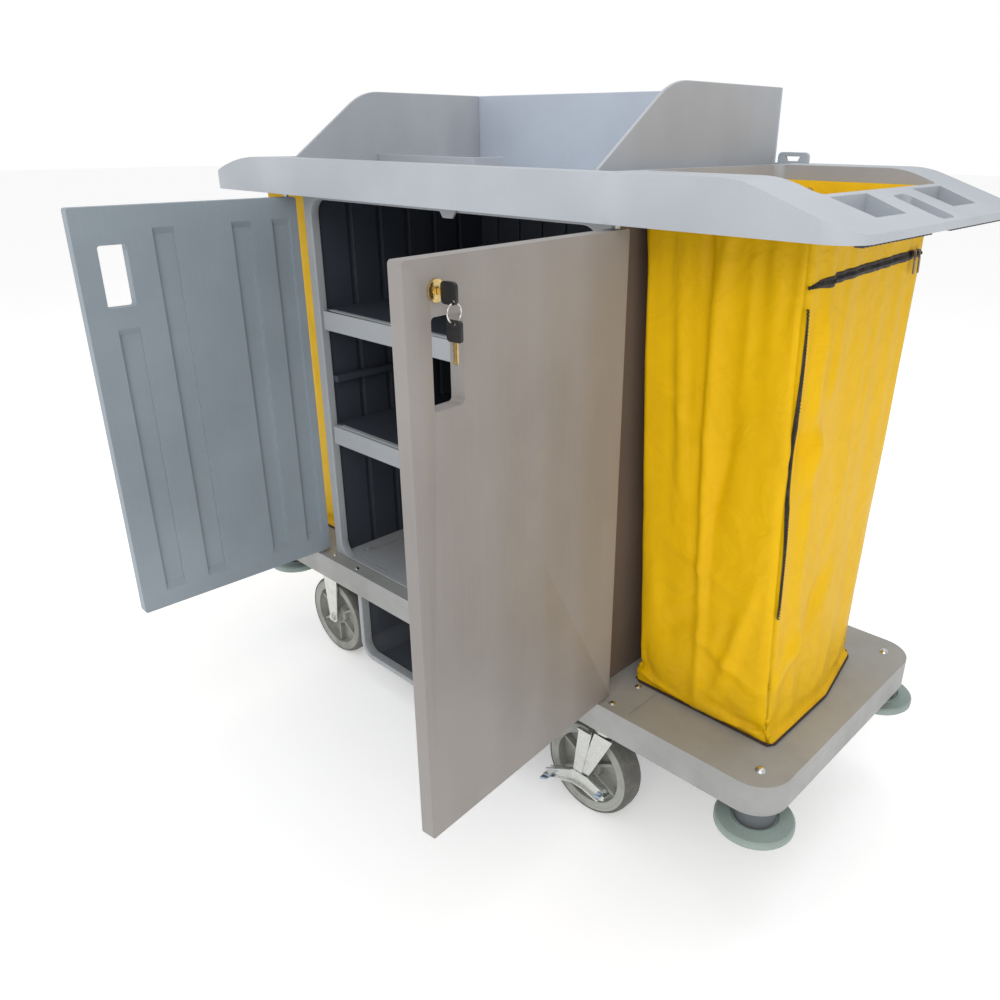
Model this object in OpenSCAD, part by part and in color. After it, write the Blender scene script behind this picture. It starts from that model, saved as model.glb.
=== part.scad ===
// Housekeeping cart: a wheeled deck with a two-door cabinet, a long top tray with a
// three-sided hood, a hanging bag at each end, a low bin between the casters, two fixed and
// two swivelling casters with total-lock brakes, and a bumper disc under each deck corner.
// X runs along the cart with the cup end at +X, the doors face -Y, and Z is up.
// The origin lies on the floor, under the middle of the cart as it stands with its doors open.

/* [Overall] */
// Length of the top tray
cart_length = 1460; // [1300:5:1760]
// Width of the top tray
tray_width = 598; // [560:1:720]
// Height of the tray's rim above the floor
tray_height = 1172; // [960:1:1420]
// Width of the base deck
deck_width = 560; // [520:1:680]
// Height of the deck's top face above the floor
deck_height = 297; // [285:1:360]
// Distance from each tray end in to the end of the deck
deck_inset = 15; // [0:1:60]

/* [Deck] */
// Depth of the deck's skirt
skirt_depth = 57; // [45:1:70]
// Thickness of the deck's walls
deck_wall = 6; // [4:0.5:9]
// Corner radius of the deck
deck_corner = 58; // [30:1:80]
// Depth of the short grooves in the deck's top
groove_depth = 2.5; // [1:0.5:4]

/* [Cabinet] */
// Outer length of the cabinet
cabinet_length = 800; // [660:1:860]
// Middle of the cabinet along the cart
cabinet_mid = -60; // [-80:1:-20]
// Distance from the deck's front edge back to the cabinet's front
front_setback = 32; // [28:1:60]
// Distance from the deck's back edge to the cabinet's back
back_setback = 30; // [10:1:60]
// Width of the front posts
post_width = 24; // [21:1:60]
// Depth of the front frame
frame_depth = 20; // [14:1:30]
// Height of the frame's top rail below the tray
rail_height = 40; // [30:1:60]
// Radius inside the frame's corners
frame_corner = 32; // [10:1:60]
// Thickness of the outer panels
panel_wall = 5; // [3:0.5:8]
// Thickness of the ribbed wall liners
liner_wall = 14; // [10:1:20]
// Pitch of the boards on the liners
board_pitch = 74; // [50:1:110]
// Width of the grooves between the boards
board_groove = 12; // [6:1:20]

/* [Shelves] */
// Height of the lower shelf above the deck
shelf_low = 323; // [200:1:400]
// Height of the upper shelf above the deck
shelf_high = 577; // [450:1:640]
// Thickness of a shelf
shelf_wall = 18; // [12:1:25]
// Height of a shelf's front lip
lip_height = 40; // [30:1:55]

/* [Doors] */
// Thickness of a door
door_wall = 22; // [18:1:28]
// Gap over and under a door
door_gap = 8; // [6:0.5:12]
// Gap between the closed doors
meeting_gap = 4; // [3:0.5:8]
// Distance from a door's hinge edge to its pin
pin_edge = 14; // [12:0.5:20]
// Distance of the pins outside the cabinet's sides
pin_out = 27; // [22:1:40]
// Radius of the hinge pins
pin_r = 4; // [3:0.5:6]
// Opening angle of the left door
open_left = 91.8; // [0:0.1:160]
// Opening angle of the right door
open_right = 94.8; // [0:0.1:160]
// Width of the hand holes
hand_w = 51; // [30:1:70]
// Height of the hand holes
hand_h = 110; // [80:1:140]

/* [Lock] */
// Radius of the lock's barrel
barrel_r = 9.5; // [8:0.5:12]
// Radius of the lock's plug
plug_r = 6; // [5:0.25:7]
// Distance of the lock from its door's free edge
lock_edge = 48; // [30:1:80]
// Distance of the lock below the door's top
lock_drop = 36; // [26:1:60]

/* [Tray] */
// Depth of the tray's apron
apron_depth = 67; // [55:1:90]
// Wall of the tray
tray_wall = 5; // [3:0.5:8]
// Depth of the tray's middle recess
tray_recess = 32; // [20:1:45]
// Corner radius of the tray
tray_corner = 46; // [20:1:70]
// Length of the cup end beyond the bag opening
cup_end = 102; // [95:1:120]
// Length of the tip beyond the left bag opening
left_tip = 30; // [20:1:50]
// Half width of the bag openings
well_half = 195; // [150:1:215]
// Height of the hood above the tray's rim
hood_height = 124; // [60:1:200]

/* [Bags] */
// Wall of a bag
bag_wall = 3; // [2:0.5:5]
// Gap between a bag and its opening
bag_gap = 3; // [2:0.5:6]
// Distance of the right bag's hem below the rim
hem_drop = 24; // [22:1:50]
// Distance of the left bag's hem below the rim
left_hem_drop = 38; // [36:1:60]
// How far the right bag's foot leans outwards
bag_lean = 30; // [0:1:45]

/* [Casters] */
// Wheel diameter
wheel_d = 200; // [160:1:204]
// Tread width
tread_w = 46; // [32:1:54]
// Thickness of the tread
tread_wall = 8; // [5:0.5:14]
// Radius of the axles
axle_r = 6; // [5:0.5:8]
// Height of a caster from the floor to its plate's top
caster_height = 238; // [230:1:250]
// Distance of the casters in from the deck's long edges
caster_inset = 65; // [65:1:110]
// Trail of the swivel casters
trail = 45; // [30:1:55]
// Distance of the fixed casters from the cabinet's left side, outwards
fixed_out = 45; // [0:1:60]

/* [Bumpers] */
// Radius of a bumper disc
bumper_r = 65; // [50:1:75]
// Thickness of a bumper disc
bumper_wall = 15; // [8:1:18]

/* [Hidden] */
$fn = 48;
eps = 0.01;
touch = 0.3;        // clearance kept where two pieces lie against each other
run = 0.05;         // radial clearance of a shaft in its hole

light = "#a9b0b6";
slate = "#3f454f";
zinc = "#c3c6c0";
yellow = "#e8b400";

// Deck and tray
deck_end = cart_length / 2 - deck_inset;
deck_side = deck_width / 2;
deck_bottom = deck_height - skirt_depth;
deck_under = deck_height - deck_wall;
tray_end = cart_length / 2;
tray_side = tray_width / 2;
tray_bottom = tray_height - apron_depth;
tray_floor = tray_height - tray_recess;
tray_under = tray_floor - tray_wall;

// Cabinet
cab_left = cabinet_mid - cabinet_length / 2;
cab_right = cabinet_mid + cabinet_length / 2;
cab_front = -deck_side + front_setback;
cab_back = deck_side - back_setback;
bay_left = cab_left + post_width;
bay_right = cab_right - post_width;
frame_back = cab_front + frame_depth;
bay_top = tray_under - rail_height;
sill = 4;
liner_left = cab_left + panel_wall + liner_wall;
liner_right = cab_right - panel_wall - liner_wall;
liner_back = cab_back - panel_wall - liner_wall;
floor_thick = 5;

// Shelves: the front lip hangs level with the frame's front
shelf_tops = [deck_height + shelf_low, deck_height + shelf_high];
cleat_h = 14;
cleat_w = 18;
cleat_tops = [shelf_tops[0] - shelf_wall, (shelf_tops[0] + shelf_tops[1]) / 2 - shelf_wall,
    shelf_tops[1] - shelf_wall];

// Doors
pin_y = -deck_side + door_wall / 2 + 1;
pin_left = cab_left - pin_out;
pin_right = cab_right + pin_out;
door_reach = (pin_right - pin_left - meeting_gap) / 2;
door_foot = deck_height + door_gap;
door_top = tray_bottom - door_gap;
door_height = door_top - door_foot;
hand_mid = door_reach - 65;
hand_z = door_top - 120;
lock_s = door_reach - lock_edge;
lock_z = door_top - lock_drop;
lock_nut = 7;
bezel = 3;
ring_r = 11;
ring_wire = 1;
head_drop = 9;       // the hole in the key's head lies below the lock's axis
key_hole_r = 2.6;
hang = key_hole_r - ring_wire - touch;   // the wire rests low in the hole

// Openings for the bags in the tray
well_right = [cab_right + 12, tray_end - cup_end];
well_left = [-tray_end + left_tip, cab_left - 32];
recess_x = [cab_left - 25, cab_right + 5];
recess_y = [-tray_side + 43, tray_side - 33];

// Casters: the fixed pair's axles and the swivel pair's king pins
fixed_x = cab_left - fixed_out;
swivel_x = cab_right + 25;
caster_y = deck_side - caster_inset;
axle_z = wheel_d / 2;
plate_wall = 5;
leg_in = tread_w / 2 + 5;
leg_wall = 4;
crown_z = caster_height - 27;
wheel_right_x = swivel_x - trail;
bumper_x = deck_end - 45;
bumper_y = deck_side - 45;
bumper_top = deck_bottom - 33;

// The open doors reach furthest forwards and the tray furthest back
front_reach = max(-pin_y + door_reach * max(sin(open_left), sin(open_right), 0.01), bumper_y + bumper_r);
mid_y = (front_reach - max(tray_side, bumper_y + bumper_r)) / 2;

// ---- Shared shapes ----

module in_place() { translate([0, mid_y, 0]) children(); }

module round_rect(x0, x1, y0, y1, r) {
    translate([x0 + r, y0]) square([x1 - x0 - 2 * r, y1 - y0]);
    translate([x0, y0 + r]) square([x1 - x0, y1 - y0 - 2 * r]);
    for (x = [x0 + r, x1 - r], y = [y0 + r, y1 - r]) translate([x, y]) circle(r);
}

module slab(x, y, z, r) {
    translate([0, 0, z[0]]) linear_extrude(z[1] - z[0]) round_rect(x[0], x[1], y[0], y[1], r);
}

module box(x, y, z) {
    translate([x[0], y[0], z[0]]) cube([x[1] - x[0], y[1] - y[0], z[1] - z[0]]);
}

// A flat outline in X and Z, given thickness along Y
module upright(y0, y1) {
    translate([0, y1, 0]) rotate([90, 0, 0]) linear_extrude(y1 - y0) children();
}

// A flat outline in Y and Z, given thickness along X
module sideways(x0, x1) {
    translate([x0, 0, 0]) rotate([90, 0, 90]) linear_extrude(x1 - x0) children();
}

module dome(r, h) {
    intersection() {
        ball_r = (r * r + h * h) / (2 * h);
        translate([0, 0, h - ball_r]) sphere(ball_r);
        cylinder(r = r, h = h);
    }
}

// ---- Base ----

module deck_outline(inset) {
    round_rect(-deck_end + inset, deck_end - inset, -deck_side + inset, deck_side - inset,
        deck_corner - inset);
}

screw_places = [[bay_left - 15, cab_front - 12], [bay_left + 80, cab_front - 18],
    [cab_right + 50, cab_front - 12], [cab_right + 53, cab_front + 60],
    [cab_right + 50, -cab_front + 12], [bay_left - 15, -cab_front + 12]];
groove_x = cab_right + 92;
groove_length = 80;
screw_r = 3;
screw_length = 12;
bumper_bolt_r = 5;
floor_channels = [bay_left + 32, cabinet_mid, bay_right - 32];

module caster_pad(x, y) {
    box([x - 60, x + 60], [y - 50, y + 50], [caster_height, deck_under + eps]);
}

module base_deck() color(light) in_place() difference() {
    union() {
        difference() {
            translate([0, 0, deck_bottom]) linear_extrude(skirt_depth) deck_outline(0);
            translate([0, 0, deck_bottom - 1]) linear_extrude(skirt_depth - deck_wall + 1)
                deck_outline(deck_wall);
        }
        for (s = [-1, 1]) {
            caster_pad(fixed_x, s * caster_y);
            caster_pad(swivel_x, s * caster_y);
        }
    }
    // a short groove in from each long edge, beside the right bag
    for (m = [0, 1]) mirror([0, m, 0])
        box([groove_x - 3, groove_x + 3], [-deck_side + 14, -deck_side + 14 + groove_length],
            [deck_height - groove_depth, deck_height + 1]);
    for (x = [-bumper_x, bumper_x], y = [-bumper_y, bumper_y])
        translate([x, y, deck_bottom - 10]) cylinder(r = bumper_bolt_r, h = skirt_depth + 20);
    for (p = [pin_left, pin_right])
        translate([p, pin_y, deck_height - deck_wall + 1]) cylinder(r = pin_r + run, h = deck_wall);
    for (p = screw_places)
        translate([p[0], p[1], deck_height - screw_length]) cylinder(r = screw_r, h = screw_length + 1);
    for (x = [fixed_x, swivel_x], y = [-caster_y, caster_y]) caster_holes(x, y, caster_height + 12);
}

module caster_holes(x, y, top) {
    for (dx = [-40, 40], dy = [-30, 30])
        translate([x + dx, y + dy, caster_height - 10]) cylinder(r = 4, h = top - caster_height + 10);
}

module deck_screws() color(zinc) in_place() for (p = screw_places)
    translate([p[0], p[1], deck_height]) {
        dome(6.5, 3);
        translate([0, 0, -screw_length]) cylinder(r = screw_r, h = screw_length);
    }

module floor_pan() color(light) in_place() difference() {
    box([liner_left + touch, liner_right - touch], [frame_back + touch, liner_back - touch],
        [deck_height, deck_height + floor_thick]);
    for (x = floor_channels)
        box([x - 9, x + 9], [frame_back + 40, liner_back - 40], [deck_height - 1, deck_height + floor_thick + 1]);
    for (x = [liner_left + 30, liner_right - 30], y = [frame_back + 30, liner_back - 30])
        translate([x, y, deck_height - 1]) cylinder(r = 5, h = floor_thick + 2);
}

// ---- Lower bin ----

bin_left = fixed_x + wheel_d / 2 + 52;
bin_right = cab_right - 165;
bin_front = -deck_side + deck_wall + 2;
bin_back = deck_side - 40;
bin_low = 70;
bin_corner = 40;
rim_w = 13;
rim_d = 22;
bin_wall = 4;

module bin_outline(inset) {
    difference() {
        round_rect(bin_left + inset, bin_right - inset, bin_low + inset, deck_under + 60, bin_corner - inset);
        translate([bin_left - 1, deck_under]) square([bin_right - bin_left + 2, 80]);
    }
}

module bin_rim() color(light) in_place() difference() {
    upright(bin_front, bin_front + rim_d) bin_outline(0);
    upright(bin_front - 1, bin_front + rim_d + 1) bin_outline_open(rim_w);
}

module bin_outline_open(inset) {
    round_rect(bin_left + inset, bin_right - inset, bin_low + inset, deck_under + 60, bin_corner - inset);
}

module lower_bin() color(slate) in_place() difference() {
    upright(bin_front + rim_d, bin_back) bin_outline(3);
    upright(bin_front, bin_back - bin_wall) bin_outline_open(3 + bin_wall);
}

// ---- Bumpers ----

module at_bumpers() {
    for (x = [-bumper_x, bumper_x], y = [-bumper_y, bumper_y]) translate([x, y, 0]) children();
}

spigot_r = 20;

module bumper_hubs() color("#6f7378") in_place() at_bumpers() difference() {
    union() {
        translate([0, 0, bumper_top + touch]) cylinder(r1 = 34, r2 = 31, h = deck_under - bumper_top - touch);
        translate([0, 0, bumper_top - bumper_wall - touch]) cylinder(r = spigot_r, h = bumper_wall + 3);
    }
    translate([0, 0, bumper_top - bumper_wall - 5]) cylinder(r = bumper_bolt_r, h = 200);
}

disc_foot = bumper_top - bumper_wall;
module bumper_bolts() color(zinc) in_place() at_bumpers() {
    translate([0, 0, deck_height]) dome(9, 6);
    translate([0, 0, disc_foot - 8]) cylinder(r = bumper_bolt_r, h = deck_height - disc_foot + 8);
    translate([0, 0, disc_foot - touch - 3]) cylinder(r = 28, h = 3);
    translate([0, 0, disc_foot - touch - 10]) cylinder(r = 8.5, h = 7, $fn = 6);
}

module bumper_disc(x, y) color("#97a5a2") in_place() translate([x, y, 0]) difference() {
    union() {
        translate([0, 0, bumper_top - bumper_wall]) rotate_extrude($fn = 96) polygon([[0, 0], [bumper_r - 3, 0],
            [bumper_r, 3], [bumper_r, bumper_wall - 3], [bumper_r - 3, bumper_wall], [0, bumper_wall]]);
        translate([0, 0, bumper_top - 0.5]) difference() {
            cylinder(r = 43, h = 4, $fn = 72);
            translate([0, 0, -1]) cylinder(r = 39, h = 8, $fn = 72);
        }
    }
    translate([0, 0, bumper_top - bumper_wall - 1]) cylinder(r = spigot_r + run, h = bumper_wall + 6);
}

// ---- Casters ----

module caster_bolts() color(zinc) in_place()
    for (x = [fixed_x, swivel_x], y = [-caster_y, caster_y], dx = [-40, 40], dy = [-30, 30])
        translate([x + dx, y + dy, caster_height - plate_wall]) {
            translate([0, 0, -5]) cylinder(r = 7, h = 5, $fn = 6);
            cylinder(r = 4, h = plate_wall + 11);
        }

module caster_plate(x, y) {
    difference() {
        slab([x - 53, x + 53], [y - 43, y + 43], [caster_height - plate_wall, caster_height], 8);
        caster_holes(x, y, caster_height + 1);
    }
}

king_r = 7;
race_r = 35;
crown_wall = 10;

// The king pin hangs from the plate and carries the turning fork
module swivel_plates() color(zinc) in_place() for (y = [-caster_y, caster_y]) {
    caster_plate(swivel_x, y);
    race = crown_z + crown_wall + touch;
    translate([swivel_x, y, race]) cylinder(r = race_r, h = caster_height - plate_wall - race);
    translate([swivel_x, y, crown_z - 5]) cylinder(r = king_r, h = 25);
    translate([swivel_x, y, crown_z - touch - 4]) cylinder(r = 11, h = 4);
}

module bearing_seals() color("#17181a") in_place() for (y = [-caster_y, caster_y])
    translate([swivel_x, y, crown_z + crown_wall + 2]) difference() {
        cylinder(r = race_r + 5, h = 6);
        translate([0, 0, -1]) cylinder(r = race_r, h = 8);
    }

module fork_legs(y, top_x0, top_x1, top_z, axle_x) {
    foot_r = 15;
    for (s = [-1, 1]) translate([0, y + s * (leg_in + leg_wall / 2), 0]) upright(-leg_wall / 2, leg_wall / 2)
        difference() {
            union() {
                translate([axle_x, axle_z]) circle(foot_r);
                polygon([[axle_x - foot_r, axle_z], [top_x0, top_z], [top_x1, top_z], [axle_x + foot_r, axle_z]]);
            }
            translate([axle_x, axle_z]) circle(axle_r);
        }
}

module fixed_forks() color(zinc) in_place() for (y = [-caster_y, caster_y]) {
    caster_plate(fixed_x, y);
    fork_legs(y, fixed_x - 30, fixed_x + 30, caster_height - plate_wall + eps, fixed_x);
}

module swivel_fork(y) color(zinc) in_place() difference() {
    union() {
        translate([swivel_x, y, crown_z]) cylinder(r = 41, h = crown_wall);
        box([swivel_x - 33, swivel_x + 26], [y - leg_in - leg_wall, y + leg_in + leg_wall], [crown_z, crown_z + 5]);
        fork_legs(y, swivel_x - 33, swivel_x + 26, crown_z + 5, wheel_right_x);
    }
    translate([swivel_x, y, crown_z - 10]) cylinder(r = king_r + run, h = 40);
}

// The hexagon on the outer side stands off by the pedal's thickness
module axle(x, y, pedal) {
    half = leg_in + leg_wall;
    s = sign(y);
    translate([x, y, axle_z]) {
        rotate([90, 0, 0]) cylinder(r = axle_r, h = 2 * (half + pedal + 8), center = true);
        translate([0, s * (half + pedal + 3), 0]) rotate([90, 0, 0]) cylinder(r = 10, h = 6, center = true, $fn = 6);
        translate([0, -s * (half + 3), 0]) rotate([90, 0, 0]) cylinder(r = 10, h = 6, center = true, $fn = 6);
    }
}

pedal_wall = 3;
module fixed_axles() color(zinc) in_place() for (y = [-caster_y, caster_y]) axle(fixed_x, y, 0);
module swivel_axle(y) color(zinc) in_place() axle(wheel_right_x, y, pedal_wall + 2 * touch);

// A two-ended lever on the axle, with tips that stand out sideways
module brake_pedal(y) color(zinc) in_place()
    translate([wheel_right_x, y, axle_z]) mirror([0, y > 0 ? 1 : 0, 0]) {
        face = -leg_in - leg_wall - touch;
        upright(face - pedal_wall, face) difference() {
            union() {
                circle(17);
                polygon([[-17, -6], [-84, -36], [-78, -52], [-8, -17], [10, -17], [58, -26], [60, -10], [15, 8]]);
            }
            circle(axle_r + run);
        }
        // pressed tips for the foot
        translate([-81, 0, -44]) rotate([0, -24, 0])
            box([-4, 14], [face - pedal_wall - 20, face], [-pedal_wall / 2, pedal_wall / 2]);
        translate([59, 0, -18]) rotate([0, 10, 0])
            box([-8, 6], [face - pedal_wall - 13, face], [-pedal_wall / 2, pedal_wall / 2]);
    }

module wheel_hub(x, y) color("#a6aaa4") in_place() translate([x, y, axle_z]) rotate([90, 0, 0]) {
    rim_out = wheel_d / 2 - tread_wall;
    rim_in = rim_out - 17;
    half = tread_w / 2 - 1;
    difference() {
        union() {
            difference() {
                cylinder(r = rim_out, h = 2 * half, center = true, $fn = 96);
                cylinder(r = rim_in, h = 2 * half + 2, center = true, $fn = 96);
            }
            cylinder(r = rim_in + 1, h = 6, center = true, $fn = 96);
            cylinder(r = 17, h = 2 * leg_in - 2, center = true);
            for (a = [0 : 60 : 300]) rotate([0, 0, a + 30])
                translate([15, -3, -half + 6]) cube([rim_in - 14, 6, 2 * half - 12]);
        }
        cylinder(r = axle_r + run, h = 200, center = true);
    }
}

module tread(x, y) color("#66676a") in_place() translate([x, y, axle_z]) rotate([90, 0, 0])
    rotate_extrude($fn = 96) polygon([[wheel_d / 2 - tread_wall, -tread_w / 2],
        [wheel_d / 2 - 5, -tread_w / 2], [wheel_d / 2 - 1.5, -tread_w / 2 + 6], [wheel_d / 2, -tread_w / 2 + 14],
        [wheel_d / 2, tread_w / 2 - 14], [wheel_d / 2 - 1.5, tread_w / 2 - 6], [wheel_d / 2 - 5, tread_w / 2],
        [wheel_d / 2 - tread_wall, tread_w / 2]]);

// ---- Cabinet ----

module cabinet_frame() color(light) in_place() upright(cab_front, frame_back) difference() {
    translate([cab_left, deck_height]) square([cabinet_length, tray_under - deck_height]);
    round_rect(bay_left, bay_right, deck_height + sill, bay_top, frame_corner);
}

module side_panels() color("#8b8d8f") in_place() {
    box([cab_left, cab_left + panel_wall], [frame_back, cab_back - panel_wall], [deck_height, tray_under]);
    box([cab_right - panel_wall, cab_right], [frame_back, cab_back - panel_wall], [deck_height, tray_under]);
}

module back_panel() color("#8b8d8f") in_place()
    box([cab_left, cab_right], [cab_back - panel_wall, cab_back], [deck_height, tray_under]);

// A run of upright boards with a groove between each two
module boards(length, depth) {
    count = max(2, round(length / board_pitch));
    pitch = length / count;
    difference() {
        square([length, depth]);
        for (i = [1 : count - 1]) translate([i * pitch - board_groove / 2, depth - 7]) square([board_groove, 8]);
    }
}

module wall_liners() color(slate) in_place() {
    side = liner_back - frame_back;
    wide = liner_right - liner_left;
    translate([0, 0, deck_height]) linear_extrude(tray_under - deck_height) {
        translate([cab_left + panel_wall, liner_back]) rotate(-90) boards(side, liner_wall);
        translate([cab_right - panel_wall, frame_back]) rotate(90) boards(side, liner_wall);
        translate([cab_right - panel_wall, cab_back - panel_wall]) rotate(180)
            boards(wide + 2 * liner_wall, liner_wall);
    }
}

module shelf_cleats() color(slate) in_place() for (z = cleat_tops) {
    box([liner_left, liner_left + cleat_w], [frame_back + touch, liner_back], [z - cleat_h, z]);
    box([liner_right - cleat_w, liner_right], [frame_back + touch, liner_back], [z - cleat_h, z]);
}

module shelf(top) color(slate) in_place()
    box([liner_left + touch, liner_right - touch], [frame_back + touch, liner_back - touch], [top - shelf_wall, top]);

lip_x = [bay_left + 12, bay_right - 12];
module shelf_lips() color(light) in_place() for (top = shelf_tops) difference() {
    union() {
        box(lip_x, [cab_front, frame_back + touch], [top - lip_height, top]);
        box([lip_x[0] + 12, lip_x[1] - 12], [cab_front + 8, frame_back - 1], [top - 1, top + 2]);
    }
    // hollow behind the lip
    box([lip_x[0] + 5, lip_x[1] - 5], [cab_front + 4, frame_back + 1], [top - lip_height - 1, top - 4]);
}

// ---- Doors: drawn closed, with the pin at the origin and the free edge along +X ----

module on_left_door() {
    translate([pin_left, pin_y, 0]) rotate(-open_left) children();
}

module on_right_door() {
    translate([pin_right, pin_y, 0]) rotate(open_right) mirror([1, 0, 0]) children();
}

groove_w = 40;
groove_deep = 7;
// [distance from the pin, height of the groove's top below the door's top], for a door
// that reaches 424.5 mm from its pin
door_grooves = [[24, 40], [110, 40], [264, 40], [355, 214]];
drawn_reach = 424.5;

module door_grooves_cut() {
    scale_s = door_reach / drawn_reach;
    for (g = door_grooves) {
        mid = g[0] * scale_s;
        sideways(mid - groove_w / 2, mid + groove_w / 2) polygon([
            [door_wall / 2 + 1, door_foot + 34], [door_wall / 2 - groove_deep, door_foot + 52],
            [door_wall / 2 - groove_deep, door_top - g[1] - 12], [door_wall / 2 + 1, door_top - g[1] + 2]]);
    }
}

module door_body(with_lock) difference() {
    translate([0, door_wall / 2, 0]) rotate([90, 0, 0]) linear_extrude(door_wall)
        round_rect(-pin_edge, door_reach, door_foot, door_top, 5);
    door_grooves_cut();
    upright(-door_wall, door_wall)
        round_rect(hand_mid - hand_w / 2, hand_mid + hand_w / 2, hand_z - hand_h / 2, hand_z + hand_h / 2, 5);
    for (z = [door_foot - 1, door_top - 24]) translate([0, 0, z]) cylinder(r = pin_r, h = 25);
    if (with_lock) translate([lock_s, 0, lock_z]) rotate([90, 0, 0])
        cylinder(r = barrel_r, h = door_wall + 2, center = true);
}

// One pin goes down into the deck and one up into the tray's boss
module door_pins() {
    translate([0, 0, deck_height - 4]) cylinder(r = pin_r, h = door_gap + 28);
    translate([0, 0, door_top - 24]) cylinder(r = pin_r, h = 24 + door_gap + 14);
}

module door_left() color(light) in_place() on_left_door() door_body(false);
module door_right() color("#8f8b89") in_place() on_right_door() door_body(true);
module door_pins_left() color(zinc) in_place() on_left_door() door_pins();
module door_pins_right() color(zinc) in_place() on_right_door() door_pins();

// ---- Lock: drawn with its axis at the origin along Y, the key's side at -Y ----

module at_lock() in_place() on_right_door() translate([lock_s, 0, lock_z]) children();

module along_y(y0, y1, r, faces) {
    translate([0, y1, 0]) rotate([90, 0, 0]) cylinder(r = r, h = y1 - y0, $fn = faces);
}

face_y = -door_wall / 2;
back_y = door_wall / 2;

module lock_barrel() color("#b9a071") at_lock() difference() {
    union() {
        along_y(face_y - bezel, face_y, barrel_r + 3.5, 48);
        along_y(face_y - eps, back_y + lock_nut, barrel_r, 48);
        along_y(back_y, back_y + lock_nut - 2, barrel_r + 4.5, 6);
    }
    along_y(face_y - bezel - 1, back_y + lock_nut + 1, plug_r + run, 48);
}

key_slot_w = 2.6;
key_slot_h = 8.6;

module lock_plug() color("#b9a071") at_lock() difference() {
    union() {
        along_y(face_y - bezel - 0.4, back_y + lock_nut + 6, plug_r, 48);
    }
    box([-key_slot_w / 2, key_slot_w / 2], [face_y - bezel - 2, face_y + 14], [-key_slot_h / 2, key_slot_h / 2]);
}

cam_reach = 30;
module lock_cam() color(zinc) at_lock() difference() {
    upright(back_y + lock_nut + 0.5, back_y + lock_nut + 3.5) {
        circle(10);
        translate([-cam_reach, -8]) square([cam_reach, 16]);
    }
    along_y(0, 60, plug_r, 48);
}

ring_y = face_y - bezel - 25;

module key_in_lock() color("#1b1b1d") at_lock() difference() {
    union() {
        sideways(-2, 2) round_rect(ring_y - 5, ring_y + 18, -13, 12, 4);
        box([-1.1, 1.1], [face_y - bezel - 8, face_y + 12], [-4, 4]);
    }
    translate([0, ring_y, -head_drop]) rotate([0, 90, 0]) cylinder(r = key_hole_r, h = 20, center = true);
}

module key_ring() color(zinc) at_lock() translate([0, ring_y, -head_drop - hang - ring_r])
    rotate([90, 0, 0]) rotate_extrude($fn = 40) translate([ring_r, 0]) circle(ring_wire, $fn = 16);

module spare_key() color("#1b1b1d") at_lock() translate([0, ring_y, -head_drop - 2 * (ring_r + hang)]) difference() {
    union() {
        sideways(-2, 2) round_rect(-11, 11, -20, 4.5, 4);
        box([-1.1, 1.1], [-4, 4], [-46, -19]);
    }
    rotate([0, 90, 0]) cylinder(r = key_hole_r, h = 20, center = true);
}

// ---- Top tray ----

// The top falls away to each end in a short arc and then a straight slope
right_fall = [19.5, 160];   // angle and arc radius at the cup end
left_fall = [24, 505];
right_tip = 56;             // drop of the rim at each tip
left_drop = 44;

function fall_run(fall, drop) = fall[1] * sin(fall[0]) + (drop - fall[1] * (1 - cos(fall[0]))) / tan(fall[0]);
function fall_arc(fall, drop, side, cut) = [for (i = [0 : 6])
    let (a = fall[0] * i / 6)
    [side * (tray_end - fall_run(fall, drop) + fall[1] * sin(a)), tray_height - cut - fall[1] * (1 - cos(a))]];
function flip(points) = [for (i = [len(points) - 1 : -1 : 0]) points[i]];

module tray_side_view(cut) {
    low = tray_bottom - (cut > 0 ? 1 : 0);
    polygon(concat([[tray_end, low], [tray_end, tray_height - cut - right_tip]],
        flip(fall_arc(right_fall, right_tip, 1, cut)), fall_arc(left_fall, left_drop, -1, cut),
        [[-tray_end, tray_height - cut - left_drop], [-tray_end, low]]));
}

module tray_block(inset) intersection() {
    upright(-tray_side - 1, tray_side + 1) tray_side_view(inset);
    slab([-tray_end + inset, tray_end - inset], [-tray_side + inset, tray_side - inset],
        [tray_bottom - 2, tray_height + 2], tray_corner - inset);
}

cup_x = [well_right[1] + 8, well_right[1] + 68];
cup_y = [72, 186];
cup_floor = tray_bottom + 1;
slot_half = 25;
slot_x = [well_right[1] + 20, tray_end - 8];
well_corner = 14;
grip_lip = 30;

// The cup narrows towards the middle of the cart's end
module cup_outline(grow) {
    polygon([[cup_x[0] - grow, cup_y[0] - grow + 4], [cup_x[1] + grow, cup_y[0] - grow + 12],
        [cup_x[1] + grow, cup_y[1] + grow - 10], [cup_x[0] - grow, cup_y[1] + grow]]);
}

module tray_wells(grow, low) {
    for (w = [well_right, well_left])
        slab([w[0] - grow, w[1] + grow], [-well_half - grow, well_half + grow], [low, tray_height + 5], well_corner + grow);
}

module top_tray() color(light) in_place() {
    tray_shell();
    // lip under the cup end, which a hand grips
    intersection() {
        tray_block(1);
        box([tray_end - grip_lip, tray_end - 1], [-tray_side, tray_side], [tray_bottom, tray_bottom + tray_wall]);
    }
}

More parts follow.
